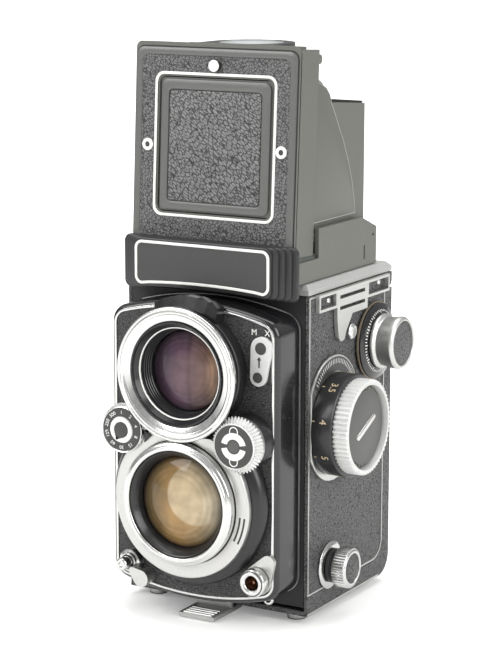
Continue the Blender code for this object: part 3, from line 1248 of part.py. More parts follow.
def strap_lug(name, side):
    top = CASE_TOP
    low = top - LUG_H
    rim = LUG_RIM
    block_low = low - LUG_BLOCK_DROP
    tip = (LUG_BLOCK_FRONT + LUG_TONGUE_TIP_R + 1.0 * MM, block_low - LUG_TONGUE_L + LUG_TONGUE_TIP_R)
    tongue_rear = (LUG_BLOCK_FRONT + LUG_BLOCK_REAR) / 2
    outline = [
        (LUG_FRONT, top), (LUG_FRONT, low), (LUG_BLOCK_FRONT, low), (LUG_BLOCK_FRONT, block_low),
    ]
    outline += arc(tip, LUG_TONGUE_TIP_R, 180.0, 360.0, 8)
    outline += [
        (tongue_rear, block_low), (LUG_BLOCK_REAR, block_low), (LUG_BLOCK_REAR, low),
        (LUG_REAR, low), (LUG_REAR, top),
    ]
    loops = [outline]
    loops.append(rectangle((LUG_FRONT + rim, low + rim), (LUG_BLOCK_FRONT - rim, top - rim)))
    loops.append(rectangle((LUG_BLOCK_REAR + rim, low + rim), (LUG_REAR - rim, top - rim)))
    for share in (0.25, 0.65):
        z = block_low + (top - block_low) * share
        loops.append(rectangle(
            (LUG_BLOCK_FRONT + 2 * rim, z), (LUG_BLOCK_REAR - 2 * rim, z + LUG_SLOT_W)))
    near = SIDE_X + GAP
    far = near + LUG_T
    spread = sorted((side * near, side * far))
    side_plate(name, loops, spread[0], spread[1], BRIGHT)


def build():
    case_shell()
    side_covers()
    top_plate()
    finder_optics()
    film_path()
    back_door()
    hood_base()
    name_housing()
    lid_frame = hinge_frame("lid_frame", (0.0, LID_Y, LID_Z), (math.radians(-LID_LEAN), 0.0, 0.0))
    hood_lid(lid_frame)
    sports_flap(lid_frame)
    magnifier(lid_frame)
    hood_panels()
    board_frame = hinge_frame("lens_board_slide", (0.0, BOARD_FRONT, TAKE_Z))
    lens_board(board_frame)
    lens_housing(board_frame)
    scale_window(board_frame)
    viewing_lens(board_frame)
    taking_lens(board_frame)
    setting_wheels(board_frame)
    board_controls(board_frame)
    focus_knob()
    spool_knobs()
    winding_crank()
    strap_lug("strap_lug_right", 1)
    strap_lug("strap_lug_left", -1)


build()
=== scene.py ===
import math
from functools import partial

import bmesh
import bpy
from mathutils import Matrix, Vector


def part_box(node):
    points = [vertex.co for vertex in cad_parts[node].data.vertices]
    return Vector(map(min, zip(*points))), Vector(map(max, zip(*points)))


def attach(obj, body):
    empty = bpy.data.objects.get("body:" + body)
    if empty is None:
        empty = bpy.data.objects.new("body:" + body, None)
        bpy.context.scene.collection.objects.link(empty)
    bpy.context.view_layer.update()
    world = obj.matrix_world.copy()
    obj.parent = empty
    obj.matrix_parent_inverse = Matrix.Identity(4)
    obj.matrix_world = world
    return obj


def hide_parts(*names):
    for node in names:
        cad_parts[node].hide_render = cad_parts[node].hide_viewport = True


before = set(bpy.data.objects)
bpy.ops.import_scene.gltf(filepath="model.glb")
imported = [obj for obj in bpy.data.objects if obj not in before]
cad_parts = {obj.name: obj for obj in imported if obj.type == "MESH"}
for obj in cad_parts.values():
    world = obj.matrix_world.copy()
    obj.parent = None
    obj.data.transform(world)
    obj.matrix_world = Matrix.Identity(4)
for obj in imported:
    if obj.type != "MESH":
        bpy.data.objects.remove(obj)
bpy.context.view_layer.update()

# Lengths are written in millimetres, and the functions for places and shapes turn them into metres
MM = 0.001
SAME_SPOT = 0.0001
ROUND = 96
FIT = 0.3

# Ways a piece can face: its own X and Y lie in the face, its own Z points out of it
FRONT = Matrix(((1, 0, 0, 0), (0, 0, -1, 0), (0, 1, 0, 0), (0, 0, 0, 1)))
RIGHT = Matrix(((0, 0, 1, 0), (1, 0, 0, 0), (0, 1, 0, 0), (0, 0, 0, 1)))
LEFT = Matrix(((0, 0, -1, 0), (-1, 0, 0, 0), (0, 1, 0, 0), (0, 0, 0, 1)))
BACK = Matrix(((-1, 0, 0, 0), (0, 0, 1, 0), (0, 1, 0, 0), (0, 0, 0, 1)))
SIDES = (("right", RIGHT, 1), ("left", LEFT, -1))


def move(place):
    return Matrix.Translation(Vector(place) * MM)


def turn(angle, axis="Z"):
    return Matrix.Rotation(math.radians(angle), 4, axis)


def at(place, facing=FRONT):
    return move(place) @ facing


def corners(node):
    low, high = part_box(node)
    return low / MM, high / MM


def centre(node):
    low, high = corners(node)
    return (low + high) / 2


def half_width(node):
    low, high = corners(node)
    return (high.x - low.x) / 2


# Places read from the frame
BOARD_LOW, BOARD_HIGH = corners("lens_board")
BOARD_FACE = BOARD_LOW.y
VIEW_AXIS = Vector((0, BOARD_FACE, centre("viewing_ring").z))
TAKE_AXIS = Vector((0, BOARD_FACE, centre("taking_ring").z))
SIDE_X = corners("side_cover_right")[1].x
LID_LEAN = -3.15
LID_FOOT = Vector((0, corners("hood_base")[0].y + 0.3, corners("name_housing")[1].z + 0.6))
LID_STAND = move(LID_FOOT) @ turn(LID_LEAN, "X")
LID = LID_STAND @ FRONT


def on_board(x=0, z=0, forward=0):
    """A place on the lens board, facing forward."""
    return at((x, BOARD_FACE - forward, z))


def on_side(node, facing=RIGHT, side=1):
    """The place where a knob's axis leaves the camera's side."""
    middle = centre(node)
    return at((side * SIDE_X, middle.y, middle.z), facing)


def board_span(node):
    """How far a node on the lens board starts and ends forward of the board's face."""
    low, high = corners(node)
    return BOARD_FACE - high.y, BOARD_FACE - low.y


def board_part(node):
    """A round node's place on the lens board, its radius and its board_span."""
    middle = centre(node)
    return on_board(middle.x, middle.z), half_width(node), *board_span(node)


def knob_span(node):
    """A knob's radius, and how far out of the camera's right side it starts and ends."""
    low, high = corners(node)
    return (high.y - low.y) / 2, low.x - SIDE_X, high.x - SIDE_X


# Finishes


NOISE_LOW, NOISE_HIGH = 0.3, 0.7
RELIEF_DEPTH = 0.2


def connect(tree, socket, value):
    if isinstance(value, bpy.types.NodeSocket):
        tree.links.new(value, socket)
    else:
        socket.default_value = value


def set_up(tree, node, **values):
    """A lower case name is a setting of the node. Any other is an input, given a value or an output."""
    for name, value in values.items():
        if name[0].islower():
            setattr(node, name, value)
        else:
            connect(tree, node.inputs[name.replace("_", " ")], value)


def add(tree, kind, *numbered, **named):
    """Adds a node and gives its outputs. Values without a name go to the first inputs, in order."""
    node = tree.nodes.new("ShaderNode" + kind)
    set_up(tree, node, **named)
    for socket, value in zip(node.inputs, numbered):
        connect(tree, socket, value)
    return node.outputs


def remap(tree, value, start=0, end=1, low=0, high=1, **settings):
    return add(tree, "MapRange", Value=value, From_Min=start, From_Max=end, To_Min=low, To_Max=high,
               **settings)["Result"]


def ramp(tree, factor, stops):
    node = tree.nodes.new("ShaderNodeValToRGB")
    tree.links.new(factor, node.inputs["Fac"])
    bands = node.color_ramp.elements
    while len(bands) < len(stops):
        bands.new(0.5)
    for band, (position, colour) in zip(bands, stops):
        band.position = position
        band.color = (*colour, 1)
    return node.outputs["Color"]


def grey_ramp(tree, factor, stops):
    return ramp(tree, factor, [(position, (level, level, level)) for position, level in stops])


def new_finish(name):
    material = bpy.data.materials.new(name)
    material.use_nodes = True
    tree = material.node_tree
    return material, tree, tree.nodes["Principled BSDF"], add(tree, "TexCoord")["Object"]


def shade(colour, amount):
    return tuple(channel * amount for channel in colour)


def surface(name, colour, roughness, metallic, vary, grain, bump, coat=0, stretch=(1, 1, 1)):
    """A finish whose colour, gloss and fine relief follow one noise at the real scale."""
    material, tree, shader, place = new_finish(name)
    where = add(tree, "Mapping", Vector=place, Scale=stretch)["Vector"]
    noise = add(tree, "TexNoise", Vector=where, Scale=grain, Detail=5)["Fac"]
    tint = ramp(tree, noise, (
        (NOISE_LOW, shade(colour, 1 - vary)), (NOISE_HIGH, shade(colour, 1 + vary))))
    gloss = remap(tree, noise, NOISE_LOW, NOISE_HIGH, roughness * 0.85, roughness * 1.15)
    relief = add(tree, "Bump", Strength=bump, Distance=RELIEF_DEPTH * MM, Height=noise)["Normal"]
    set_up(tree, shader, Base_Color=tint, Roughness=gloss, Normal=relief, Metallic=metallic,
           Coat_Weight=coat, Coat_Roughness=0.08)
    return material


def leatherette(name, crease_shade, crown_highlight, cells, longer, slant):
    """Pressed grain: wandering cells drawn out along a slant, with thin dark creases painted as shade and
    paler crowns painted as a highlight over the leather's grey.
    """
    material, tree, shader, place = new_finish(name)
    where = add(tree, "Mapping", vector_type="TEXTURE", Vector=place, Rotation=slant,
                Scale=(1, 1, longer))["Vector"]
    wander = add(tree, "TexNoise", Vector=where, Scale=cells * 0.4, Detail=3)
    drift = 0.5 / cells
    moved = add(tree, "VectorMath", wander["Color"], (drift, drift, drift), where,
                operation="MULTIPLY_ADD")["Vector"]
    pebble = add(tree, "TexVoronoi", feature="DISTANCE_TO_EDGE", Vector=moved, Scale=cells)["Distance"]
    rise = remap(tree, pebble, end=0.2, interpolation_type="SMOOTHSTEP")
    worn = remap(tree, wander["Fac"], NOISE_LOW, NOISE_HIGH, 0.88)
    height = add(tree, "Math", rise, worn, operation="MULTIPLY")["Value"]
    tint = ramp(tree, height, ((0, crease_shade), (1, crown_highlight)))
    relief = add(tree, "Bump", Strength=0.8, Distance=RELIEF_DEPTH * MM, Height=height)["Normal"]
    set_up(tree, shader, Base_Color=tint, Roughness=0.5, Specular_IOR_Level=0.5, Normal=relief)
    return material


# Brightness from half way out to the rim: rings of painted reflection, falling to painted shade at the rim
GLASS_RINGS_AND_RIM_SHADE = ((0.5, 1), (0.6, 0.86), (0.64, 0.97), (0.72, 0.76), (0.76, 0.88), (0.84, 0.6), (0.88, 0.68),
               (1, 0.16))


def coated_glass(name, middle, reach, reflection_tints, highlight_r, highlight_at, strength, softness):
    """Lens glass painted with its light: a tint in the coating's colours running across it as a painted
    reflection, faint rings of painted reflection towards a rim darkened as painted shade, and a pale disc
    deeper in as a painted highlight.
    """
    material, tree, shader, place = new_finish(name)
    size = 1 / (reach * MM)
    where = add(tree, "Mapping", Vector=place, Scale=(size, 0, size),
                Location=(-middle.x / reach, 0, -middle.z / reach))["Vector"]
    sideways = add(tree, "SeparateXYZ", Vector=where)["X"]
    tint = ramp(tree, remap(tree, sideways, -1), reflection_tints)
    away = add(tree, "VectorMath", where, highlight_at, operation="DISTANCE")["Value"]
    edge = remap(tree, away, highlight_r - softness, highlight_r, strength, 0, interpolation_type="SMOOTHSTEP")
    highlighted = add(tree, "Mix", data_type="RGBA", Factor=edge, A=tint, B=(*reflection_tints[-1][1], 1))["Result"]
    cloud = add(tree, "TexNoise", Vector=where, Scale=2.2, Detail=2)["Fac"]
    mottle = remap(tree, cloud, NOISE_LOW, NOISE_HIGH, 0.7, 1.15)
    mottled = add(tree, "VectorMath", highlighted, operation="SCALE", Scale=mottle)["Vector"]
    outward = add(tree, "VectorMath", where, operation="LENGTH")["Value"]
    painted_rings = grey_ramp(tree, outward, GLASS_RINGS_AND_RIM_SHADE)
    ringed = add(tree, "Mix", data_type="RGBA", blend_type="MULTIPLY", Factor=1, A=mottled, B=painted_rings)["Result"]
    set_up(tree, shader, Base_Color=ringed, Roughness=0.08, Coat_Weight=0.2, Coat_Roughness=0.03,
           Specular_IOR_Level=0.15)
    return material


# Leather colours that carry the grain's painted light: shade in the creases, highlight on the crowns over the
# leather's grey
CREASE_SHADE = (0.02, 0.02, 0.02)
CROWN_HIGHLIGHT = (0.13, 0.131, 0.131)
LID_SLANT = (0, math.radians(-50), 0)
SIDE_SLANT = (math.radians(30), 0, 0)

# Share of the painted crease shade's colour, share of the crown's painted highlight colour, cells in a metre,
# how much longer than wide, slant
LEATHERS = {
    "lid_leather": (0.7, 1.3, 1250, 1.8, LID_SLANT),
    "flap_leather": (0.7, 1.6, 1150, 2.4, LID_SLANT),
    "side_leather": (0.5, 1.05, 1150, 1.4, SIDE_SLANT),
    "board_leather": (0.5, 0.55, 1050, 1.1, LID_SLANT),
}
# Colour, roughness, metallic, spread of the colour, grain in a metre, relief, coat, stretch of the grain
SURFACES = {
    "hood_paint": ((0.125, 0.125, 0.112), 0.45, 0.15, 0.05, 1800, 0.1),
    "lid_paint": ((0.125, 0.125, 0.12), 0.35, 0.15, 0.06, 1500, 0.08),
    "name_paint": ((0.05, 0.05, 0.05), 0.45, 0.1, 0.1, 2400, 0.2),
    "dark_paint": ((0.024, 0.024, 0.025), 0.36, 0, 0.12, 900, 0.1),
    "gloss_black": ((0.01, 0.01, 0.011), 0.2, 0, 0.2, 300, 0.05, 0.3),
    "matt_black": ((0.014, 0.014, 0.014), 0.6, 0, 0.2, 1200, 0.2),
    "barrel_black": ((0.012, 0.012, 0.013), 0.34, 0, 0.1, 900, 0.01, 0.15),
    "satin_chrome": ((0.6, 0.6, 0.585), 0.4, 1, 0.04, 700, 0.06),
    "pale_steel": ((0.66, 0.66, 0.65), 0.5, 0.35, 0.06, 1600, 0.15),
    "plate_grey": ((0.42, 0.42, 0.41), 0.5, 0.3, 0.1, 2600, 0.25),
    "bright_chrome": ((0.66, 0.66, 0.65), 0.22, 1, 0.03, 400, 0.04),
    "plain_steel": ((0.5, 0.5, 0.5), 0.32, 1, 0.08, 900, 0.1, 0, (1, 1, 0.1)),
    "white_enamel": ((0.82, 0.82, 0.79), 0.35, 0, 0.04, 900, 0.05),
    "pale_gold": ((0.6, 0.49, 0.32), 0.4, 0, 0.06, 900, 0.05),
    "brown_edge": ((0.2, 0.165, 0.12), 0.4, 0.3, 0.1, 900, 0.1),
    "copper": ((0.3, 0.17, 0.11), 0.35, 0.9, 0.15, 900, 0.1),
    "dial_face": ((0.09, 0.09, 0.085), 0.42, 0.2, 0.1, 1800, 0.2),
    "dial_grey": ((0.045, 0.045, 0.044), 0.45, 0, 0.2, 2200, 0.25),
    "clear_glass": ((0.62, 0.68, 0.67), 0.05, 0, 0.04, 60, 0.01, 1),
    "screen_glass": ((0.42, 0.45, 0.44), 0.35, 0, 0.05, 3000, 0.2),
    "silvering": ((0.9, 0.9, 0.91), 0.04, 1, 0.02, 80, 0.01),
    "spool_plastic": ((0.025, 0.025, 0.028), 0.4, 0, 0.12, 700, 0.1),
}
# Painted reflections in the coating's colours, from the left edge to the right one
VIEW_REFLECTION_TINTS = (
    (0, (0.03, 0.02, 0.028)), (0.3, (0.085, 0.05, 0.075)), (0.5, (0.12, 0.072, 0.1)),
    (0.56, (0.09, 0.055, 0.07)), (0.6, (0.13, 0.08, 0.09)), (0.78, (0.17, 0.1, 0.085)),
    (0.88, (0.32, 0.19, 0.12)), (1, (0.24, 0.15, 0.11)))
TAKE_REFLECTION_TINTS = (
    (0, (0.085, 0.066, 0.038)), (0.25, (0.2, 0.132, 0.06)), (0.5, (0.36, 0.22, 0.09)),
    (0.75, (0.4, 0.28, 0.14)), (1, (0.62, 0.54, 0.39)))
# The lens glass finishes carry painted reflections, a painted highlight and painted shade along with the
# coating's colours
FINISH = {
    "viewing_coating": coated_glass("viewing_coating", VIEW_AXIS, half_width("viewing_lens"), VIEW_REFLECTION_TINTS,
                                    0.75, (0.1, 0, -0.1), 0.15, 0.35),
    "taking_coating": coated_glass("taking_coating", TAKE_AXIS, half_width("taking_lens"), TAKE_REFLECTION_TINTS,
                                   0.72, (0.45, 0, 0.25), 0.5, 0.07),
}
for finish, (deep, pale, *grain) in LEATHERS.items():
    FINISH[finish] = leatherette(finish, shade(CREASE_SHADE, deep), shade(CROWN_HIGHLIGHT, pale), *grain)
for finish, values in SURFACES.items():
    FINISH[finish] = surface(finish, *values)


# Shapes


def to_mesh(bm, name):
    mesh = bpy.data.meshes.new(name)
    bm.to_mesh(mesh)
    bm.free()
    return mesh


def show(name, data):
    obj = bpy.data.objects.new(name, data)
    bpy.context.scene.collection.objects.link(obj)
    return obj


def make_piece(body, bm, name, finishes, slot, where, stands_for="", sharp=35):
    """Sets the shape in its place, gives it its finishes and lets it ride on a body of the camera."""
    mesh = to_mesh(placed(bm, where), name)
    for finish in finishes.split():
        mesh.materials.append(FINISH[finish])
    mesh.shade_smooth()
    mesh.set_sharp_from_angle(angle=math.radians(sharp))
    obj = show(name, mesh)
    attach(obj, body)
    if stands_for:
        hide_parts(stands_for)


body_piece = partial(make_piece, "camera_body")
board_piece = partial(make_piece, "lens_standard")


def own_piece(node, bm, name, finishes, slot, where, sharp=35):
    """A piece that stands for the node its body is named after."""
    make_piece(node, bm, name, finishes, slot, where, node, sharp)


def placed(bm, where):
    bmesh.ops.transform(bm, matrix=where, verts=bm.verts)
    return bm


def shifted(bm, x=0, y=0, z=0):
    return placed(bm, move((x, y, z)))


def lift(bm, height):
    return shifted(bm, z=height)


def join(bm, other, finish=0):
    """Adds another shape to this one, with its own place in the list of finishes."""
    for face in other.faces:
        face.material_index = finish
    mesh = to_mesh(other, "joined")
    bm.from_mesh(mesh)
    bpy.data.meshes.remove(mesh)


def face_outward(bm):
    bmesh.ops.recalc_face_normals(bm, faces=bm.faces)


def open_edges(bm):
    return [edge for edge in bm.edges if edge.is_boundary]


def cut(bm, point, beyond):
    """Takes off what lies beyond a plane and closes the cut."""
    whole = bm.verts[:] + bm.edges[:] + bm.faces[:]
    bmesh.ops.bisect_plane(bm, geom=whole, plane_co=Vector(point) * MM, plane_no=beyond, clear_outer=True)
    bmesh.ops.holes_fill(bm, edges=open_edges(bm))


def second_finish_below(bm, height):
    for face in bm.faces:
        if face.calc_center_median().z < height * MM:
            face.material_index = 1


def arc(middle, radius, start, end, count):
    points = []
    for i in range(count + 1):
        angle = math.radians(start + (end - start) * i / count)
        points.append((middle[0] + radius * math.cos(angle), middle[1] + radius * math.sin(angle)))
    return points


def round_line(radius, start=0, end=360, count=48, middle=(0, 0)):
    points = arc(middle, radius, start, end, count)
    return points[:-1] if end - start == 360 else points


def rectangle(left, foot, right, top):
    return (left, foot), (right, foot), (right, top), (left, top)


def rounded(left, foot, right, top, radius):
    """A rectangle with round corners, anticlockwise."""
    inner = rectangle(left + radius, foot + radius, right - radius, top - radius)
    points = []
    for corner, start in zip(inner[1:] + inner[:1], (-90, 0, 90, 180)):
        points += arc(corner, radius, start, start + 90, 6)
    return points


def teardrop(big_r, small, small_r):
    """A big round about the middle and a small round, with straight lines between them."""
    x, y = small
    toward = math.degrees(math.atan2(y, x))
    spread = math.degrees(math.acos((big_r - small_r) / math.hypot(x, y)))
    points = round_line(big_r, toward + spread, toward + 360 - spread, 24)
    return points + arc(small, small_r, toward - spread, toward + spread, 12)


def ribbed(radius, depth, ribs):
    """A round outline with close rounded ribs."""
    points = []
    for i in range(ribs):
        for share, reach in ((0, 0.35), (0.18, 1), (0.42, 1), (0.6, 0.35), (0.8, 0)):
            angle = math.tau * (i + share) / ribs
            size = radius - depth * (1 - reach)
            points.append((size * math.cos(angle), size * math.sin(angle)))
    return points


def softened(profile, radius, closed):
    """The profile with each corner cut to a small round of three points."""
    points = []
    count = len(profile)
    for i, corner in enumerate(profile):
        if not closed and i in (0, count - 1):
            points.append(corner)
            continue
        here = Vector(corner)
        before = Vector(profile[i - 1]) - here
        after = Vector(profile[(i + 1) % count]) - here
        reach = min(radius, before.length * 0.45, after.length * 0.45)
        start = here + before.normalized() * reach
        end = here + after.normalized() * reach
        points += [tuple(start), tuple((start + end) / 4 + here / 2), tuple(end)]
    return points


def profile_edges(bm, profile, closed=True):
    verts = [bm.verts.new((radius * MM, 0, height * MM)) for radius, height in profile]
    edges = [bm.edges.new(pair) for pair in zip(verts, verts[1:])]
    if closed:
        edges.append(bm.edges.new((verts[-1], verts[0])))
    return verts + edges


def spin(bm, outline, angle, steps, **more):
    bmesh.ops.spin(bm, geom=outline, cent=(0, 0, 0), axis=(0, 0, 1), angle=angle, steps=steps, **more)


def turned(profile, segments=ROUND, soft=0.25, closed=False):
    """A (radius, height) profile spun about Z."""
    if soft:
        profile = softened(profile, soft, closed)
    bm = bmesh.new()
    spin(bm, profile_edges(bm, profile, closed), math.tau, segments, use_merge=True)
    bmesh.ops.remove_doubles(bm, verts=bm.verts, dist=SAME_SPOT * MM)
    face_outward(bm)
    return bm


turned_ring = partial(turned, closed=True)


def disc(radius, height, segments=ROUND, soft=0):
    return turned(((0, height), (radius, height), (radius, 0), (0, 0)), segments, soft)


def hoop(outer, inner, low, high, segments=ROUND, soft=0):
    return turned_ring(((outer, high), (outer, low), (inner, low), (inner, high)), segments, soft)


def swept(profile, start, end):
    """A closed (radius, height) profile carried part of the way round Z, with its ends filled."""
    bm = bmesh.new()
    outline = profile_edges(bm, profile)
    placed(bm, turn(start))
    spin(bm, outline, math.radians(end - start), 24)
    bmesh.ops.holes_fill(bm, edges=open_edges(bm))
    face_outward(bm)
    return bm


def raise_new(bm, made, height):
    """Moves up the points that an operator has just made."""
    fresh = [item for item in made["geom"] if isinstance(item, bmesh.types.BMVert)]
    bmesh.ops.translate(bm, vec=(0, 0, height * MM), verts=fresh)


def raise_faces(bm, thickness, soft):
    raise_new(bm, bmesh.ops.extrude_face_region(bm, geom=bm.faces[:], use_keep_orig=True), thickness)
    face_outward(bm)
    if soft:
        soften_rim(bm, thickness, soft)
    return bm


def bevel(bm, edges, width, segments=2):
    bmesh.ops.bevel(
        bm, geom=edges, offset=width * MM, segments=segments, profile=0.5, affect="EDGES", material=-1)


def soften_rim(bm, height, width, segments=2):
    rim = [e for e in bm.edges if all(abs(v.co.z / MM - height) < SAME_SPOT for v in e.verts)
           and e.calc_face_angle(0) > 0.5]
    bevel(bm, rim, width, segments)


def flat_points(bm, outline):
    return [bm.verts.new((a * MM, b * MM, 0)) for a, b in outline]


def slab(outline, thickness, soft=0, holes=()):
    """A flat outline given a thickness from Z = 0 upwards."""
    bm = bmesh.new()
    edges = []
    for loop in (outline, *holes):
        verts = flat_points(bm, loop)
        edges += [bm.edges.new((verts[i - 1], verts[i])) for i in range(len(verts))]
    if holes:
        bmesh.ops.triangle_fill(bm, use_beauty=True, edges=edges)
    else:
        bm.faces.new(bm.verts[:])
    return raise_faces(bm, thickness, soft)


def inset_field(bm, outline, width):
    """Adds a face with the outline and draws a border of even width inside it."""
    field = bm.faces.new(flat_points(bm, outline))
    bm.normal_update()
    bmesh.ops.inset_region(bm, faces=[field], thickness=width * MM, use_boundary=True, use_even_offset=True)
    return field


def line(outline, width, height, soft=0):
    """A raised line of even width just inside an outline."""
    bm = bmesh.new()
    bmesh.ops.delete(bm, geom=[inset_field(bm, outline, width)], context="FACES")
    return raise_faces(bm, height, soft)


def add_bar(bm, where, length, width, height):
    size = Matrix.Diagonal((length * MM, width * MM, height * MM, 1))
    bmesh.ops.create_cube(bm, size=1, matrix=where @ size)


def ticks(count, inner, outer, width, height, start=0, end=360, long_every=0, long_inner=0):
    """Small bars set round a dial."""
    bm = bmesh.new()
    gaps = count if end - start == 360 else count - 1
    for i in range(count):
        near = long_inner if long_every and i % long_every == 0 else inner
        spot = turn(start + (end - start) * i / gaps) @ move(((near + outer) / 2, 0, height / 2))
        add_bar(bm, spot, outer - near, width, height)
    return bm


def lettering(words, size, thickness):
    """Generic figures or letters, made a mesh and centred."""
    curve = bpy.data.curves.new("figures", "FONT")
    curve.body = words
    curve.size = size * MM
    curve.align_x = curve.align_y = "CENTER"
    curve.extrude = thickness * MM / 2
    curve.resolution_u = 3
    holder = show("figures", curve)
    graph = bpy.context.evaluated_depsgraph_get()
    mesh = bpy.data.meshes.new_from_object(holder.evaluated_get(graph))
    bpy.data.objects.remove(holder, do_unlink=True)
    bm = bmesh.new()
    bm.from_mesh(mesh)
    bpy.data.meshes.remove(mesh)
    bmesh.ops.remove_doubles(bm, verts=bm.verts, dist=SAME_SPOT * MM)
    return lift(bm, thickness / 2)


# Lens board


BOARD_SAG = 5.5
BOARD_CORNER_R = 7
BOARD_DEPTH = 16.2
BOARD_WALL = 1.5
BOARD_ROUND = 2
BOARD_LINE_W = 1
ROD_X = 29
ROD_Z = 63.2
ROD_R = 2.5
ROD_LENGTH = 31
RING_STEP = 2.2


def board_outline(inset, fine=10):
    """Bowed top and round corners, then the same turned half round for the foot."""
    half = BOARD_HIGH.x
    radius = (half ** 2 + BOARD_SAG ** 2) / (2 * BOARD_SAG) - inset
    corner = BOARD_CORNER_R - inset
    top = BOARD_HIGH.z - inset - radius
    side = half - inset - corner
    fall = math.sqrt((radius - corner) ** 2 - side ** 2)
    bend = math.degrees(math.atan2(fall, side))
    points = arc((side, top + fall), corner, 0, bend, fine)
    points += arc((0, top), radius, bend, 180 - bend, 4 * fine)[1:-1]
    points += arc((-side, top + fall), corner, 180 - bend, 180, fine)
    return points + [(-x, BOARD_LOW.z + BOARD_HIGH.z - z) for x, z in points]


def lens_board():
    tray = bmesh.new()
    floor = inset_field(tray, board_outline(0), BOARD_WALL)
    raise_new(tray, bmesh.ops.extrude_face_region(tray, geom=[floor]), BOARD_DEPTH - BOARD_WALL)
    raise_new(tray, bmesh.ops.extrude_edge_only(tray, edges=open_edges(tray)), BOARD_DEPTH)
    bmesh.ops.contextual_create(tray, geom=open_edges(tray))
    face_outward(tray)
    soften_rim(tray, BOARD_DEPTH, BOARD_ROUND, 4)
    for side in (-1, 1):
        rod = disc(ROD_R, ROD_LENGTH, 32, 0.25)
        join(tray, placed(rod, move((side * ROD_X, ROD_Z, BOARD_DEPTH - BOARD_WALL)) @ turn(180, "X")))
    rear = on_board(forward=-BOARD_DEPTH)
    board_piece(tray, "board_tray", "gloss_black", "casting", rear, "lens_board", 40)
    field = slab(board_outline(BOARD_ROUND + BOARD_LINE_W - 0.2), 0.2)
    board_piece(field, "board_skin", "board_leather", "leatherette", on_board())
    trim = line(board_outline(BOARD_ROUND - 0.4), BOARD_LINE_W, 0.7, 0.25)
    board_piece(trim, "board_line", "bright_chrome", "chrome", on_board(forward=-0.25))
    band = line(board_outline(-0.15), 0.6, 0.8)
    board_piece(band, "board_rear_line", "satin_chrome", "chrome", on_board(forward=0.2 - BOARD_DEPTH))


def lens_housing():
    low, high = board_span("lens_housing")
    wide = half_width("shutter_ring") + 4
    shell = turned_ring((
        (wide - 4, high), (wide - 0.6, high - 2), (wide, low), (19.7, low), (19.7, high)), soft=1.2)
    bore = half_width("viewing_cone") + FIT
    neck = turned_ring(((22.2, high), (22.5, high - 0.6), (22.5, low), (bore, low), (bore, high)), soft=0.4)
    join(shell, shifted(neck, y=VIEW_AXIS.z - TAKE_AXIS.z))
    wheel = centre("aperture_wheel")
    for side in (-1, 1):
        boss = turned(((0, high), (9, high), (10, low), (0, low)), soft=0.8)
        join(shell, shifted(boss, side * wheel.x, wheel.z - TAKE_AXIS.z))
    board_piece(shell, "shutter_housing", "barrel_black", "barrel_black", at(TAKE_AXIS), "lens_housing", 40)


def bayonet_lugs(radius, height):
    """Three small bright catches on a lens ring's front."""
    bm = bmesh.new()
    for angle in (80, 200, 320):
        add_bar(bm, turn(angle) @ move((radius, 0, height)), 1.4, 7, 1.6)
    bevel(bm, bm.edges[:], 0.3)
    return bm


def domed_glass(radius, rim, bulge, steps, *rear):
    dome = [(radius * i / steps, rim + bulge * (1 - (i / steps) ** 2)) for i in range(steps + 1)]
    return turned([*dome, *rear], soft=0)


def viewing_lens():
    place = at(VIEW_AXIS)
    _, outer, low, high = board_part("viewing_ring")
    _, barrel, back, front = board_part("viewing_cone")
    bore = barrel + FIT
    base = outer - RING_STEP
    waist = high - 1.9
    ring = turned_ring((
        (22, high), (22.9, high), (23.05, high - 0.4), (23.2, high), (outer - 0.3, high), (outer, high - 0.4),
        (outer, waist), (base, waist), (base, low), (bore, low), (bore, high - 1), (21.6, high - 0.5)),
        soft=0.3)
    second_finish_below(ring, waist - 0.1)
    join(ring, bayonet_lugs(outer - 1.6, high - 0.9))
    board_piece(ring, "viewing_rim", "bright_chrome barrel_black", "chrome", place, "viewing_ring")
    _, glass, _, crest = board_part("viewing_lens")
    bulge = 1.9
    rim = crest - bulge
    tube = glass + 1.5
    throat = [(glass + 0.3, rim - 0.3)]
    for i in range(5):
        reach = glass + 0.45 + 0.32 * i
        height = rim - 0.1 + 0.95 * i
        throat += [(reach, height), (reach, height + 0.6)]
    cone = turned_ring((
        (barrel, front), (barrel, 0.3), (tube, 0.3), (tube, back), (glass + 0.3, back), *throat, (16.5, 9.1),
        (barrel - 0.8, front - 0.9), (barrel - 0.5, front)), soft=0.08)
    board_piece(cone, "viewing_barrel", "barrel_black", "barrel_black", place, "viewing_cone")
    bright = turned_ring(((16.75, 9.75), (16.75, 9.4), (16.35, 9.2), (16.35, 9.6)), soft=0)
    board_piece(bright, "viewing_hoop", "white_enamel", "chrome", place)
    lens = domed_glass(glass, rim, bulge, 10, (glass, -2.4), (0, -2.4))
    board_piece(lens, "viewing_glass", "viewing_coating", "coated_glass", place, "viewing_lens", 50)


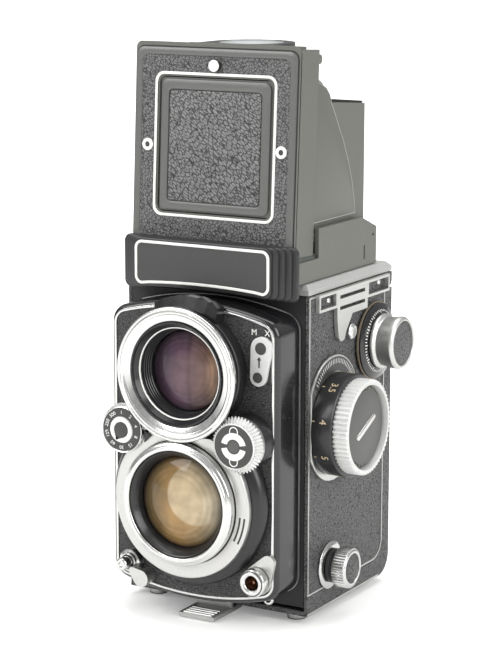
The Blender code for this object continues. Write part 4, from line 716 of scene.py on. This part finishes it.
def taking_lens():
    place = at(TAKE_AXIS)
    _, outer, low, high = board_part("taking_ring")
    bore = half_width("taking_cone") + FIT
    ring = turned_ring((
        (bore + 1.6, high), (bore + 2, high - 0.6), (outer - 0.4, high - 0.9), (outer, high - 1.3),
        (outer, low), (bore, low), (bore, high - 0.5), (bore + 0.4, high)), soft=0.3)
    join(ring, bayonet_lugs(outer - 1.4, high - 1.7))
    board_piece(ring, "taking_rim", "bright_chrome", "chrome", place, "taking_ring")
    _, wide, low, high = board_part("shutter_ring")
    inner = outer + FIT
    plate = turned_ring((
        (wide - 0.3, high), (wide, high - 0.3), (wide, low), (inner, low), (inner, high)), soft=0.15)
    cut(plate, (0, 24.8, 0), (0, 1, 0))
    for near, far in ((24.3, 25), (26.1, 26.8)):
        groove = ((near, high + 0.04), (far, high + 0.04), (far, high - 0.4), (near, high - 0.4))
        join(plate, swept(groove, -27, -5), 1)
    board_piece(plate, "shutter_plate", "satin_chrome barrel_black", "chrome", place, "shutter_ring")
    back, front = board_span("taking_cone")
    glass = half_width("taking_lens")
    cone = turned_ring((
        (19.3, front), (19.3, 0.3), (18.2, 0.3), (18.2, back), (glass + 0.2, back),
        (glass + 0.2, front - 4.2), (glass + 0.8, front - 2.6), (glass + 1.5, front - 1.4),
        (18.9, front - 0.3)), soft=0.1)
    board_piece(cone, "taking_barrel", "barrel_black", "barrel_black", place, "taking_cone")
    rim = 7.6
    lens = domed_glass(glass, rim, 4.2, 12, (glass, rim - 3.4), (0, rim - 4))
    board_piece(lens, "taking_glass", "taking_coating", "coated_glass", place, "taking_lens", 50)


def wheel_seats():
    wheel = centre("speed_wheel")
    lenses = (
        (half_width("shutter_ring"), TAKE_AXIS.z), (half_width("viewing_ring") - RING_STEP, VIEW_AXIS.z))
    for side, name in ((-1, "left"), (1, "right")):
        low, high = board_span("wheel_seat_" + name)
        x = side * abs(wheel.x)
        seat = turned(((0, high), (9.4, high), (9.5, low), (0, low)), soft=0.2)
        for reach, z in lenses:
            away = Vector((-x, z - wheel.z, 0))
            toward = away.normalized()
            cut(seat, toward * (away.length - reach - FIT), toward)
        board_piece(seat, "wheel_boss_" + name, "satin_chrome", "chrome", on_board(x, wheel.z),
                    "wheel_seat_" + name)


SPEEDS = ("1", "2", "4", "8", "15", "30", "60", "125", "250", "500")


def speed_dial():
    place, reach, low, high = board_part("speed_wheel")
    ledge = high - 0.7
    paint = 0.12
    wheel = turned((
        (0, ledge), (reach - 0.5, ledge), (reach - 0.3, ledge + 0.2), (reach, ledge), (reach, low),
        (0, low)), soft=0.1)
    field = slab(round_line(reach - 0.6), paint, holes=(round_line(4.9),))
    join(wheel, lift(field, ledge), 1)
    for i, words in enumerate(SPEEDS):
        spread = turn(90 - 360 * i / len(SPEEDS)) @ move((6.4, 0, ledge + paint)) @ turn(-90)
        join(wheel, placed(lettering(words, 1.9, 0.05), spread), 2)
    collar = turned_ring(((4.7, 0), (4.7, 0.5), (4.4, 0.7), (3.1, 0.7), (2.9, 0.3), (2.9, 0)), soft=0.1)
    join(wheel, lift(collar, ledge), 2)
    hub = slab(teardrop(2.8, (-1.9, -3.6), 0.3), 0.75, 0.08)
    join(wheel, lift(hub, ledge - 0.05), 1)
    own_piece("speed_wheel", wheel, "speed_dial", "bright_chrome dial_grey white_enamel", "chrome", place)


def aperture_dial():
    place, reach, low, high = board_part("aperture_wheel")
    neck_r = 8.7
    face_r = half_width("speed_wheel") - 0.3
    flange = 1.6
    ribs = 46
    rib_depth = 0.9
    narrow = neck_r / reach
    wheel = slab(ribbed(reach, rib_depth, ribs), flange)
    front = [v for v in wheel.verts if v.co.z > 0]
    bmesh.ops.scale(wheel, vec=(narrow, narrow, 1), verts=front)
    neck = slab(ribbed(neck_r, rib_depth * narrow, ribs), high - low - 0.4 - flange)
    join(wheel, lift(neck, flange))
    lift(wheel, low)
    drum = turned((
        (0, high - 0.2), (face_r - 0.5, high - 0.2), (face_r - 0.3, high), (face_r, high - 0.3),
        (face_r, high - 1), (0, high - 1)), soft=0.1)
    join(wheel, drum)
    join(wheel, lift(slab(round_line(face_r - 0.5), 0.12), high - 0.2), 1)
    for start in (12, 192):
        end = start + 156
        grip = slab(round_line(5, start, end, 20) + round_line(2.7, start, end, 16)[::-1], 0.3, 0.1)
        join(wheel, lift(grip, high - 0.1), 2)
    arch = [(1.75, -1.4), *round_line(1.75, 0, 180, 20), (-1.75, -1.4),
            (-1.4, -1.4), *round_line(1.4, 0, 180, 20)[::-1], (1.4, -1.4)]
    for side in (1, -1):
        mark = slab([(side * x, side * (y + 5.45)) for x, y in arch], 0.06)
        join(wheel, lift(mark, high - 0.08), 2)
    join(wheel, lift(disc(2.2, 0.12, 48, 0.05), high - 0.1), 3)
    own_piece("aperture_wheel", wheel, "aperture_dial", "pale_steel dial_grey white_enamel dial_face",
              "chrome", place)


def release():
    place, reach, low, high = board_part("release_collar")
    collar = turned_ring((
        (3.3, high), (3.6, high - 0.9), (reach - 0.6, high - 1.6), (reach, low + 0.4), (reach, low),
        (2.7, low), (2.7, high)))
    board_piece(collar, "release_sleeve", "bright_chrome", "chrome", place, "release_collar")
    _, reach, low, high = board_part("release_button")
    plunger = turned((
        (0, high - 0.5), (0.8, high - 0.5), (1, high), (reach - 0.5, high), (reach, high - 0.6), (reach, low),
        (0, low)), soft=0.15)
    own_piece("release_button", plunger, "release_plunger", "bright_chrome", "chrome", place)


def flash_terminal():
    place, _, low, high = board_part("flash_socket")
    tube = turned_ring((
        (4.2, high), (5.2, high - 0.8), (5.2, 2.5), (3.6, 2.5), (3.6, low), (2.6, low), (2.6, high - 0.6),
        (3.2, high)), soft=0.2)
    lining = turned((
        (2.5, high - 1), (2.5, low), (0, low), (0, low + 0.8), (1.9, low + 0.8), (1.9, high - 1)), 48, 0)
    join(tube, lining, 1)
    contact = turned(((0, 4.4), (0.5, 4.2), (0.5, low), (0, low)), 16, 0)
    join(tube, contact, 1)
    join(tube, hoop(4.7, 4.3, high - 0.3, high - 0.05, 64), 2)
    board_piece(tube, "flash_terminal", "bright_chrome copper dial_grey", "chrome", place, "flash_socket")


def sync_marks():
    face = on_board(27.8, 94.7, board_span("sync_lever")[1])
    for i, (x, z, reach) in enumerate(((0, 0, 1.9), (1.2, 10.5, 2.2))):
        dimple = shifted(disc(reach, 0.12, 32), x, z)
        make_piece("sync_lever", dimple, f"sync_dimple_{i}", "dial_grey", "black_paint", face)
    arrow = slab((
        (-0.9, 1.1), (0, 2.4), (0.9, 1.1), (0.3, 1.1), (0.3, -1.6), (-0.3, -1.6), (-0.3, 1.1)), 0.08)
    make_piece("sync_lever", shifted(arrow, 0.6, 5.2), "sync_arrow", "dial_grey", "black_paint", face)
    for words, x in (("M", 25.3), ("X", 30.6)):
        board_piece(lettering(words, 3, 0.1), "sync_mark_" + words.lower(), "white_enamel", "leatherette",
                    on_board(x, 110.4, 0.2))


def board_extras():
    pointer = slab(((-14.9, 67.6), (-11.9, 70.4), (-14.9, 72.1)), 0.9, 0.1)
    board_piece(pointer, "wheel_pointer", "barrel_black", "black_paint", on_board(forward=8.75))
    hook = hoop(2.1, 1.1, -0.5, 0.5, 40, 0.35)
    cut(hook, (0, 0.2, 0), (0, 1, 0))
    board_piece(hook, "cable_hook", "bright_chrome", "chrome", at((27.7, -45, 11.2)))


def feet():
    for i, (x, y) in enumerate(((-30, -28), (30, -28), (-30, 20), (30, 20))):
        cap = turned_ring((
            (3.55, 2.9), (3.55, 0.4), (3.1, 0), (2.4, 0), (2.4, 0.1), (3.5, 0.5), (3.5, 2.9)), 40, 0.1)
        make_piece("back_door", cap, f"foot_cap_{i}", "satin_chrome", "chrome", move((x, y, 0)))


# Hood and name housing


LID_LOW = -5.2
LID_TOP = 69.3
LID_DEPTH = 14
LID_WALL = 1
LID_SKIN = 1.3
LID_BUTTON_Z = 61.4


def hood_lid():
    half = half_width("hood_lid")
    inside = half - LID_WALL
    opening = rounded(-23.6, 8.3, 23.6, 57.2, 2.5)
    plate = lift(slab(rounded(-half, LID_LOW, half, LID_TOP, 2.2), LID_SKIN, holes=(opening,)), -LID_SKIN)
    for left, right in ((-half, -inside), (inside, half)):
        flange = slab(rectangle(left, LID_LOW + 0.6, right, LID_TOP - 1), LID_DEPTH - 0.8)
        join(plate, lift(flange, -LID_DEPTH))
    cap = slab(rectangle(-inside, LID_TOP - LID_WALL, inside, LID_TOP), 5.2)
    join(plate, lift(cap, -6))
    body_piece(plate, "lid_shell", "hood_paint", "hood_grey", LID, "hood_lid", 30)
    # A thin matt black line just inside the lid's edge: painted shade standing in for the groove there
    groove = line(rounded(-half + 0.2, LID_LOW + 0.2, half - 0.2, LID_TOP - 1.4, 3.4), 0.5, 0.06)
    body_piece(groove, "lid_groove", "matt_black", "black_paint", LID)
    inner = rounded(-half + 3.2, -1.5, half - 3.6, LID_TOP - 4.7, 2.4)
    border = slab(rounded(-half + 0.3, LID_LOW + 0.3, half - 0.7, LID_TOP - 1.8, 3.2), 0.9, 0.7, (inner,))
    body_piece(lift(border, -0.2), "lid_border", "lid_paint", "hood_grey", LID)
    holes = (rounded(-24.2, 7.7, 24.2, 57.8, 2.6), round_line(2.6, count=32, middle=(0, LID_BUTTON_Z)))
    panel = slab(rounded(-30.8, -1.9, 30.5, 64.6, 2.2), 0.3, holes=holes)
    body_piece(panel, "lid_skin", "lid_leather", "leatherette", LID)
    square = line(rounded(-25.2, 6.7, 25.2, 58.8, 3.6), 1, 0.6, 0.2)
    body_piece(square, "lid_square_line", "white_enamel", "chrome", LID)
    for name, x in (("left", -28), ("right", 27.5)):
        eyelet = turned_ring(((2.1, 0.5), (2.3, 0), (1, 0), (1, 0.4), (1.2, 0.5)), 40, 0.12)
        join(eyelet, disc(1.05, 0.1, 24), 1)
        body_piece(shifted(eyelet, x, 32.2, 0.28), "lid_eyelet_" + name, "white_enamel dial_grey", "chrome",
                   LID)
    button = turned((
        (0, 2.4), (1.9, 2.4), (2.1, 2.2), (2.1, 1.9), (2, 1.8), (2, -1.6), (2.9, -1.6), (2.9, -2.6),
        (0, -2.6)), 48, 0.1)
    # Below height 2 the button's side gets dark paint: painted shade on the side of the raised button
    second_finish_below(button, 2)
    own_piece("lid_button", shifted(button, y=LID_BUTTON_Z), "lid_press_button", "white_enamel dark_paint",
              "chrome", LID)


def sports_flap():
    face = LID @ move((0, 0, -0.6))
    inner = rounded(-19.6, 12.2, 19, 52.6, 1.6)
    border = slab(rounded(-22.6, 9.3, 22.6, 56.2, 2.6), 0.8, 0.35, (inner,))
    make_piece("sports_flap", border, "flap_border", "lid_paint", "hood_grey", face)
    # A matt black strip behind the gap above the flap: painted shade where the gap would show through
    gap_strip = slab(rectangle(-24, 55.8, 24, 58.4), 0.4)
    body_piece(lift(gap_strip, -2.9), "flap_hinge_cover", "matt_black", "black_paint", LID)
    panel = slab(rounded(-19.3, 12.5, 18.7, 52.3, 1.4), 0.5, 0.2)
    make_piece("sports_flap", panel, "flap_skin", "flap_leather", "leatherette", face)


# The outer leaf of a hood panel, seen from the right: the foot, then the curved seam and the crest
PANEL_LEAF = (
    (-23.4, 145.8), (10.2, 145.8), (9.2, 151.2), (7.3, 158.6), (4.4, 165.6), (0.2, 173.6), (-4.4, 180.8),
    (-9, 187.6), (-10.4, 191), (-13.2, 193.6), (-18.8, 196), (-23.4, 197.8))


def hood_details():
    base_x = half_width("hood_base")
    for name, facing, side in SIDES:
        panel = "hood_side_" + name
        place = at((side * 32.5, 0, 0), facing)
        outline = [(side * y, z) for y, z in PANEL_LEAF]
        make_piece(panel, slab(outline, 0.22, 0.1), "panel_leaf_" + name, "hood_paint", "hood_grey", place)
        # A pale line along the leaf's outline: painted highlight where the sheet's edge catches light
        edge_highlight = line(outline[::side], 0.25, 0.24)
        make_piece(panel, edge_highlight, "panel_edge_highlight_" + name, "plate_grey", "hood_grey", place)
        slit_y = side * 13.1
        slit = slab(rectangle(slit_y - 0.4, 128.2, slit_y + 0.4, 133.4), 0.06)
        pin = turned(((0, 0.2), (0.5, 0.15), (0.6, 0), (0, 0)), 20, 0)
        join(slit, shifted(pin, side * 20.2, 136.7))
        body_piece(slit, "hood_pin_" + name, "matt_black", "black_paint", at((side * base_x, 0, 0), facing))
        ear_y = side * 14
        ear = slab(rounded(ear_y - 2.4, 63.2, ear_y + 2.4, 66.6, 1.4), 0.9, 0.2)
        body_piece(ear, "lid_catch_" + name, "hood_paint", "hood_grey",
                   LID_STAND @ at((side * 32.85, 0, 0), facing))


def arched(half, foot, top, radius, arch):
    """A round-cornered plate whose lower edge rises in the middle."""
    inside = half - radius
    points = arc((inside, top - radius), radius, 0, 90, 6)
    points += arc((-inside, top - radius), radius, 90, 180, 6)
    points += arc((-inside, foot + radius), radius, 180, 262, 6)
    for i in range(-7, 8):
        x = inside * i / 8
        points.append((x, foot + arch * (1 - (x / half) ** 2)))
    points += arc((inside, foot + radius), radius, 278, 360, 6)
    return points


def name_housing():
    low, high = corners("name_housing")
    front = at((0, low.y, 0))
    tiers = 5
    deep = (high.y - low.y) / tiers
    sunk = -0.08
    shell = bmesh.new()
    for i in range(tiers):
        outline = arched(28.5 + 1.95 * i, low.z + 0.35 * (tiers - 1 - i), high.z, 2.6, 1)
        join(shell, lift(slab(outline, deep + sunk, 0.5), -deep * (i + 1)))
    body_piece(shell, "name_shell", "dark_paint", "hood_grey", front, "name_housing", 40)
    border = line(arched(28, low.z + 2.6, high.z - 0.9, 3, 1.3), 1, 0.35, 0.15)
    body_piece(lift(border, sunk), "name_frame_line", "white_enamel", "chrome", front)
    field = slab(arched(27, low.z + 3.6, high.z - 1.9, 2.2, 1.3), 0.12)
    body_piece(lift(field, sunk), "name_field", "name_paint", "hood_grey", front)


# Sides and back


def side_lines():
    low, high = corners("side_cover_right")
    front = low.y + 0.3
    rear = 24.9
    foot = low.z + 0.3
    top = high.z - 0.4
    corner = 7.6
    outline = [(front, foot), *arc((rear - corner, foot + corner), corner, -90, 0, 10), (rear, top),
               (front, top)]
    door_z = corners("back_door")[0].z + 3.2
    for name, facing, side in SIDES:
        place = at((side * SIDE_X, 0, 0), facing)
        loop = [(side * y, z) for y, z in outline][::side]
        body_piece(line(loop, 0.55, 0.2), "cover_line_" + name, "satin_chrome", "chrome", place)
        start, end = sorted((side * (low.y + 0.2), side * 22))
        bar = slab(rectangle(start, door_z + 0.2, end, door_z + 0.9), 0.2)
        make_piece("back_door", bar, "door_line_" + name, "satin_chrome", "chrome", place)


def back_skin():
    place = at((0, corners("back_door")[1].y, 0), BACK)
    panel = slab(rounded(-34.5, 12, 34.5, 112, 3), 0.25)
    make_piece("back_door", panel, "back_skin", "side_leather", "leatherette", place)
    rim = line(rounded(-35.3, 11.2, 35.3, 112.8, 3.8), 0.7, 0.3)
    make_piece("back_door", rim, "back_line", "satin_chrome", "chrome", place)


def lug_fittings():
    for name, facing, side in SIDES:
        place = at((side * SIDE_X, 0, 0), facing)
        stud = turned(((0, 2.6), (2.2, 2.4), (3, 1.6), (3, 0), (0, 0)), 48, 0.2)
        body_piece(shifted(stud, side * -4.2, 104.2), "lug_stud_" + name, "bright_chrome", "chrome", place)
        for i, (y, z) in enumerate(((-20.6, 118.1), (19.4, 119))):
            screw = turned(((0, 0.5), (0.9, 0.45), (1.2, 0), (0, 0)), 32, 0.1)
            shifted(screw, side * y, z, 0.05)
            body_piece(screw, f"lug_screw_{name}_{i}", "bright_chrome", "chrome", place)


# Knobs


DISTANCES = ("3", "3.5", "4", "5", "6", "8", "15", "30")
FOCUS_BORE = 15.5


def focus_knob():
    place = on_side("focus_rim")
    reach, inner, _ = knob_span("focus_knob")
    grip_r, start, end = knob_span("focus_rim")
    base = 1.6
    top = start + 1
    drum = turned((
        (0, top), (reach - 0.4, top), (reach, top - 0.4), (reach, base + 0.4), (reach - 0.5, base), (3, base),
        (3, inner), (0, inner)), 128, 0.1)
    bars = bmesh.new()
    for i, words in enumerate(DISTANCES):
        round_to = turn(82 + 42 * i)
        stand = round_to @ move((reach, 0, (base + top) / 2 + 0.6)) @ turn(90, "Y") @ turn(90)
        join(drum, placed(lettering(words, 3.8, 0.08), stand), 1)
        add_bar(bars, round_to @ move((reach, 0, base + 0.9)), 0.12, 0.3, 1.1)
    join(drum, bars, 1)
    own_piece("focus_knob", drum, "focus_drum", "barrel_black pale_gold", "barrel_black", place, 30)
    rim = lift(slab(ribbed(grip_r, 0.7, 60), end - start - 0.2, 0.3, (round_line(FOCUS_BORE),)), start)
    lip = turned_ring((
        (grip_r - 1.3, end), (grip_r - 1, end - 0.3), (grip_r - 1, end - 3.4), (FOCUS_BORE, end - 3.4),
        (FOCUS_BORE, end - 0.2), (FOCUS_BORE + 0.2, end)), soft=0.2)
    join(rim, lip)
    make_piece("focus_knob", rim, "focus_grip", "pale_steel", "chromed_alloy", place, "focus_rim", 25)
    face_r, start, _ = knob_span("focus_dial")
    face_h = end - 2.6
    dial = turned((
        (0, face_h), (15, face_h), (15.2, face_h - 0.2), (15.2, face_h - 0.9), (face_r, face_h - 0.9),
        (face_r, start), (0, start)), soft=0.1)
    grip = slab(rounded(-7.7, -1.2, 7.7, 1.2, 1.1), 1.8, 0.5)
    join(dial, lift(placed(grip, turn(25)), face_h - 0.1), 1)
    join(dial, lift(ticks(36, 13.4, 14.5, 0.28, 0.06, long_every=3, long_inner=12.8), face_h), 2)
    own_piece("focus_dial", dial, "focus_face", "dial_face bright_chrome pale_gold", "black_paint", place)


def focus_scale():
    knob = centre("focus_rim")
    place = at((corners("focus_scale_plate")[1].x, knob.y, knob.z + 6.7), RIGHT)
    window = slab(round_line(17.9, 22, 150, 40) + round_line(12.6, 150, 22, 40), 0.12)
    body_piece(window, "focus_scale_window", "dial_grey", "black_paint", place)
    marks = ticks(27, 15.4, 17.2, 0.25, 0.06, 28, 144)
    body_piece(lift(marks, 0.12), "focus_scale_marks", "white_enamel", "chrome", place)


def knob_face(radius, end):
    """The covered disc in the end of a pull knob."""
    return lift(disc(radius, 0.4, 64, 0.1), end - 0.6)


def upper_knob():
    place = on_side("upper_knob_dial")
    reach, _, top = knob_span("upper_knob_dial")
    slope_top_r = 10.5
    slope_foot_r = reach - 0.9
    slope_foot = 2.2
    dial = turned_ring((
        (slope_top_r, top), (reach - 0.5, slope_foot), (reach - 0.5, 0.3), (2.9, 0.3), (2.9, top)), soft=0.2)
    join(dial, hoop(reach, slope_foot_r, 0.7, 1.5, soft=0.2), 1)
    slope = math.degrees(math.atan2(top - slope_foot, slope_foot_r - slope_top_r))
    tick_r = 11.9
    tick_h = slope_foot + (slope_foot_r - tick_r) * math.tan(math.radians(slope))
    bars = bmesh.new()
    for i in range(60):
        spot = turn(6 * i) @ move((tick_r, 0, tick_h)) @ turn(slope, "Y")
        add_bar(bars, spot, 1.7 if i % 5 else 2.6, 0.36, 0.1)
    join(dial, bars, 2)
    body_piece(dial, "upper_dial", "gloss_black brown_edge white_enamel", "black_paint", place,
               "upper_knob_dial", 30)
    barrel_r, inner, end = knob_span("upper_spool_knob")
    base = 3.8
    knob = turned((
        (8.2, end - 0.5), (8.4, end), (9.2, end), (barrel_r - 0.3, end - 1.2), (barrel_r - 0.5, end - 3),
        (barrel_r - 1.2, base + 2), (barrel_r, base + 1), (barrel_r, base), (2.6, base), (2.6, inner),
        (0, inner), (0, end - 0.5)), soft=0.3)
    join(knob, knob_face(8.1, end), 1)
    own_piece("upper_spool_knob", knob, "upper_pull_knob", "satin_chrome side_leather", "chromed_alloy",
              place)


def lower_knob():
    place = on_side("lower_knob_ring")
    reach, _, top = knob_span("lower_knob_ring")
    bezel = turned_ring((
        (reach - 1.6, top), (reach, top - 0.7), (reach, 0.3), (2.9, 0.3), (2.9, top)), 64, 0.3)
    body_piece(bezel, "lower_bezel", "bright_chrome", "chrome", place, "lower_knob_ring")
    barrel_r, inner, end = knob_span("lower_spool_knob")
    base = 1.8
    knob = lift(slab(ribbed(barrel_r, 0.35, 44), end - base - 3.4, 0.35), base + 3)
    stem = turned((
        (6, base + 3.2), (5.4, base + 2.2), (5.4, base + 1.4), (6.4, base + 0.8), (6.4, base), (2.6, base),
        (2.6, inner), (0, inner), (0, base + 3.2)), 64, 0.15)
    join(knob, stem, 2)
    lip = turned_ring(((6.4, end), (7.1, end - 0.6), (5.4, end - 0.6), (5.6, end)), 64, 0.15)
    join(knob, lip)
    join(knob, knob_face(5.5, end), 1)
    own_piece("lower_spool_knob", knob, "lower_pull_knob", "bright_chrome side_leather dark_paint",
              "chromed_alloy", place, 25)


CRANK_REACH = 34
CRANK_SHAFT_END = 26


def winding_crank():
    place = on_side("upper_knob_dial", LEFT, -1)
    plate = turned_ring(((12.7, 1.8), (13.5, 1.2), (13.5, 0.3), (2.9, 0.3), (2.9, 1.8)), soft=0.3)
    body_piece(plate, "crank_bezel", "satin_chrome", "chrome", place, "crank_plate")
    inner = CRANK_SHAFT_END - SIDE_X
    hub = turned((
        (0, 5.7), (8, 5.7), (9, 4.9), (9, 2.1), (2.6, 2.1), (2.6, inner), (0, inner)), 64, 0.3)
    arm = slab(teardrop(7.2, (0, -CRANK_REACH), 4.6), 2, 0.7)
    join(hub, lift(arm, 4.7))
    cap = turned(((0, 0.5), (3, 0.4), (3.6, 0), (0, 0)), 48, 0.1)
    join(hub, lift(cap, 6.65), 1)
    own_piece("winding_crank", hub, "crank_handle", "bright_chrome dial_grey", "chrome", place, 30)
    grip = turned((
        (0, 15), (2.6, 15), (3.6, 14), (3, 11), (3.4, 8), (3.4, 7), (0, 7)), 48, 0.5)
    own_piece("crank_grip", shifted(grip, y=-CRANK_REACH), "crank_knob", "bright_chrome", "chrome", place)


# Frame pieces that keep their shape: finish, width of the rounded edge and nodes


FRAME_FINISHES = (
    ("side_leather", 0, "side_cover_right side_cover_left back_door"),
    ("matt_black", 0, "body_shell film_gate"),
    ("gloss_black", 0, "scale_window"),
    ("plate_grey", 0.25, "top_plate"),
    ("dark_paint", 0.25, "magnifier_frame"),
    ("hood_paint", 0.25, "hood_base hood_side_left hood_side_right hood_rear"),
    ("lid_paint", 0.2, "sports_flap"),
    ("satin_chrome", 0.25, "focus_scale_plate"),
    ("satin_chrome", 0.6, "strap_lug_right strap_lug_left"),
    ("pale_steel", 0.25, "sync_lever"),
    ("satin_chrome", 0.3, "release_lock socket_lock back_latch"),
    ("plain_steel", 0, "film_roller_upper film_roller_lower hinge_pin tripod_socket pressure_plate iris"),
    ("clear_glass", 0, "magnifier_lens rear_lens"),
    ("screen_glass", 0, "focusing_screen"),
    ("silvering", 0, "mirror"),
    ("spool_plastic", 0, "take_up_spool"),
)


def dress(node, finish, width):
    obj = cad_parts[node]
    obj.data.materials.clear()
    obj.data.materials.append(FINISH[finish])
    if width:
        weld = obj.modifiers.new("Weld", "WELD")
        weld.merge_threshold = 0.01 * MM
        edge = obj.modifiers.new("Edge", "BEVEL")
        edge.width = width * MM
        edge.segments = 2
        edge.limit_method = "ANGLE"
        edge.angle_limit = math.radians(40)
        edge.use_clamp_overlap = True


def dress_frame():
    for finish, width, nodes in FRAME_FINISHES:
        for node in nodes.split():
            dress(node, finish, width)


# Studio, where the light's and the floor's lengths are in metres


MIRRORED_GLOW = 0.2
WHITE = (1, 1, 1, 1)
FLOOR_REACH = 40
SKY = ((0, 0.55), (0.48, 0.38), (0.58, 0.62), (0.75, 0.95), (1, 0.85))
SKY_STRENGTH = 0.62
LIGHT_AIM = Vector((0, -0.02, 0.1))
LAMPS = (
    ("key_light", (-0.75, -1, 0.95), 0.8, 13),
    ("fill_light", (1.2, -0.35, 0.7), 0.9, 13),
    ("top_light", (0, 0.2, 1.5), 1.2, 16),
)
AZIMUTH = 29.9993
ELEVATION = 11.0837
ROLL = 0.1097
CAMERA_AIM = (-6.054, 0, 99.22)
CAMERA_AWAY = 821.1
FRAME_HEIGHT = 661
FOCAL_PIXELS = 2166.211
SENSOR = 36


def glowing_paper():
    """White paper that glows for the camera and in reflections, more strongly further from the camera body:
    painted light that runs it into the white background and leaves it dimmer near the body.
    """
    material = surface("glowing_paper", (0.88, 0.88, 0.87), 0.9, 0, 0.01, 40, 0)
    tree = material.node_tree
    away = add(tree, "VectorMath", add(tree, "TexCoord")["Object"], operation="LENGTH")["Value"]
    rise = remap(tree, away, 0.06, 0.42, 0.2, 1, interpolation_type="SMOOTHSTEP")
    path = add(tree, "LightPath")
    seen = add(tree, "Math", path["Is Glossy Ray"], MIRRORED_GLOW, path["Is Camera Ray"],
               operation="MULTIPLY_ADD")["Value"]
    glow = add(tree, "Math", seen, rise, operation="MULTIPLY")["Value"]
    set_up(tree, tree.nodes["Principled BSDF"], Emission_Color=WHITE, Emission_Strength=glow)
    return material


def studio_floor():
    bm = bmesh.new()
    bmesh.ops.create_grid(bm, x_segments=1, y_segments=1, size=FLOOR_REACH)
    mesh = to_mesh(bm, "studio_floor")
    mesh.materials.append(glowing_paper())
    floor = show("studio_floor", mesh)


def studio_world():
    world = bpy.data.worlds.new("studio")
    bpy.context.scene.world = world
    world.use_nodes = True
    tree = world.node_tree
    upward = add(tree, "SeparateXYZ", Vector=add(tree, "TexCoord")["Generated"])["Z"]
    room = tree.nodes["Background"]
    set_up(tree, room, Color=grey_ramp(tree, remap(tree, upward, -1), SKY), Strength=SKY_STRENGTH)
    backdrop = add(tree, "Background", Color=WHITE)["Background"]
    seen = add(tree, "LightPath")["Is Camera Ray"]
    both = add(tree, "MixShader", seen, room.outputs["Background"], backdrop)["Shader"]
    set_up(tree, tree.nodes["World Output"], Surface=both)


def studio_lights():
    for name, place, size, power in LAMPS:
        lamp = bpy.data.lights.new(name, "AREA")
        lamp.shape = "RECTANGLE"
        lamp.size = lamp.size_y = size
        lamp.energy = power
        obj = show(name, lamp)
        obj.location = place
        obj.rotation_euler = (LIGHT_AIM - Vector(place)).to_track_quat("-Z", "Y").to_euler()


def studio_camera():
    data = bpy.data.cameras.new("studio_camera")
    data.sensor_fit = "VERTICAL"
    data.sensor_height = SENSOR
    data.lens = SENSOR * FOCAL_PIXELS / FRAME_HEIGHT
    data.clip_start = 10 * MM
    camera = show("studio_camera", data)
    facing = turn(AZIMUTH) @ turn(90 - ELEVATION, "X") @ turn(ROLL)
    camera.matrix_world = move(CAMERA_AIM) @ facing @ move((0, 0, CAMERA_AWAY))
    bpy.context.scene.camera = camera


for make in (
        lens_board, lens_housing, viewing_lens, taking_lens, wheel_seats, speed_dial, aperture_dial, release,
        flash_terminal, sync_marks, board_extras, feet, hood_lid, sports_flap, hood_details, name_housing,
        side_lines, back_skin, lug_fittings, focus_knob, focus_scale, upper_knob, lower_knob, winding_crank,
        dress_frame, studio_floor, studio_world, studio_lights, studio_camera,
):
    make()
bpy.context.scene.view_settings.view_transform = "Standard"
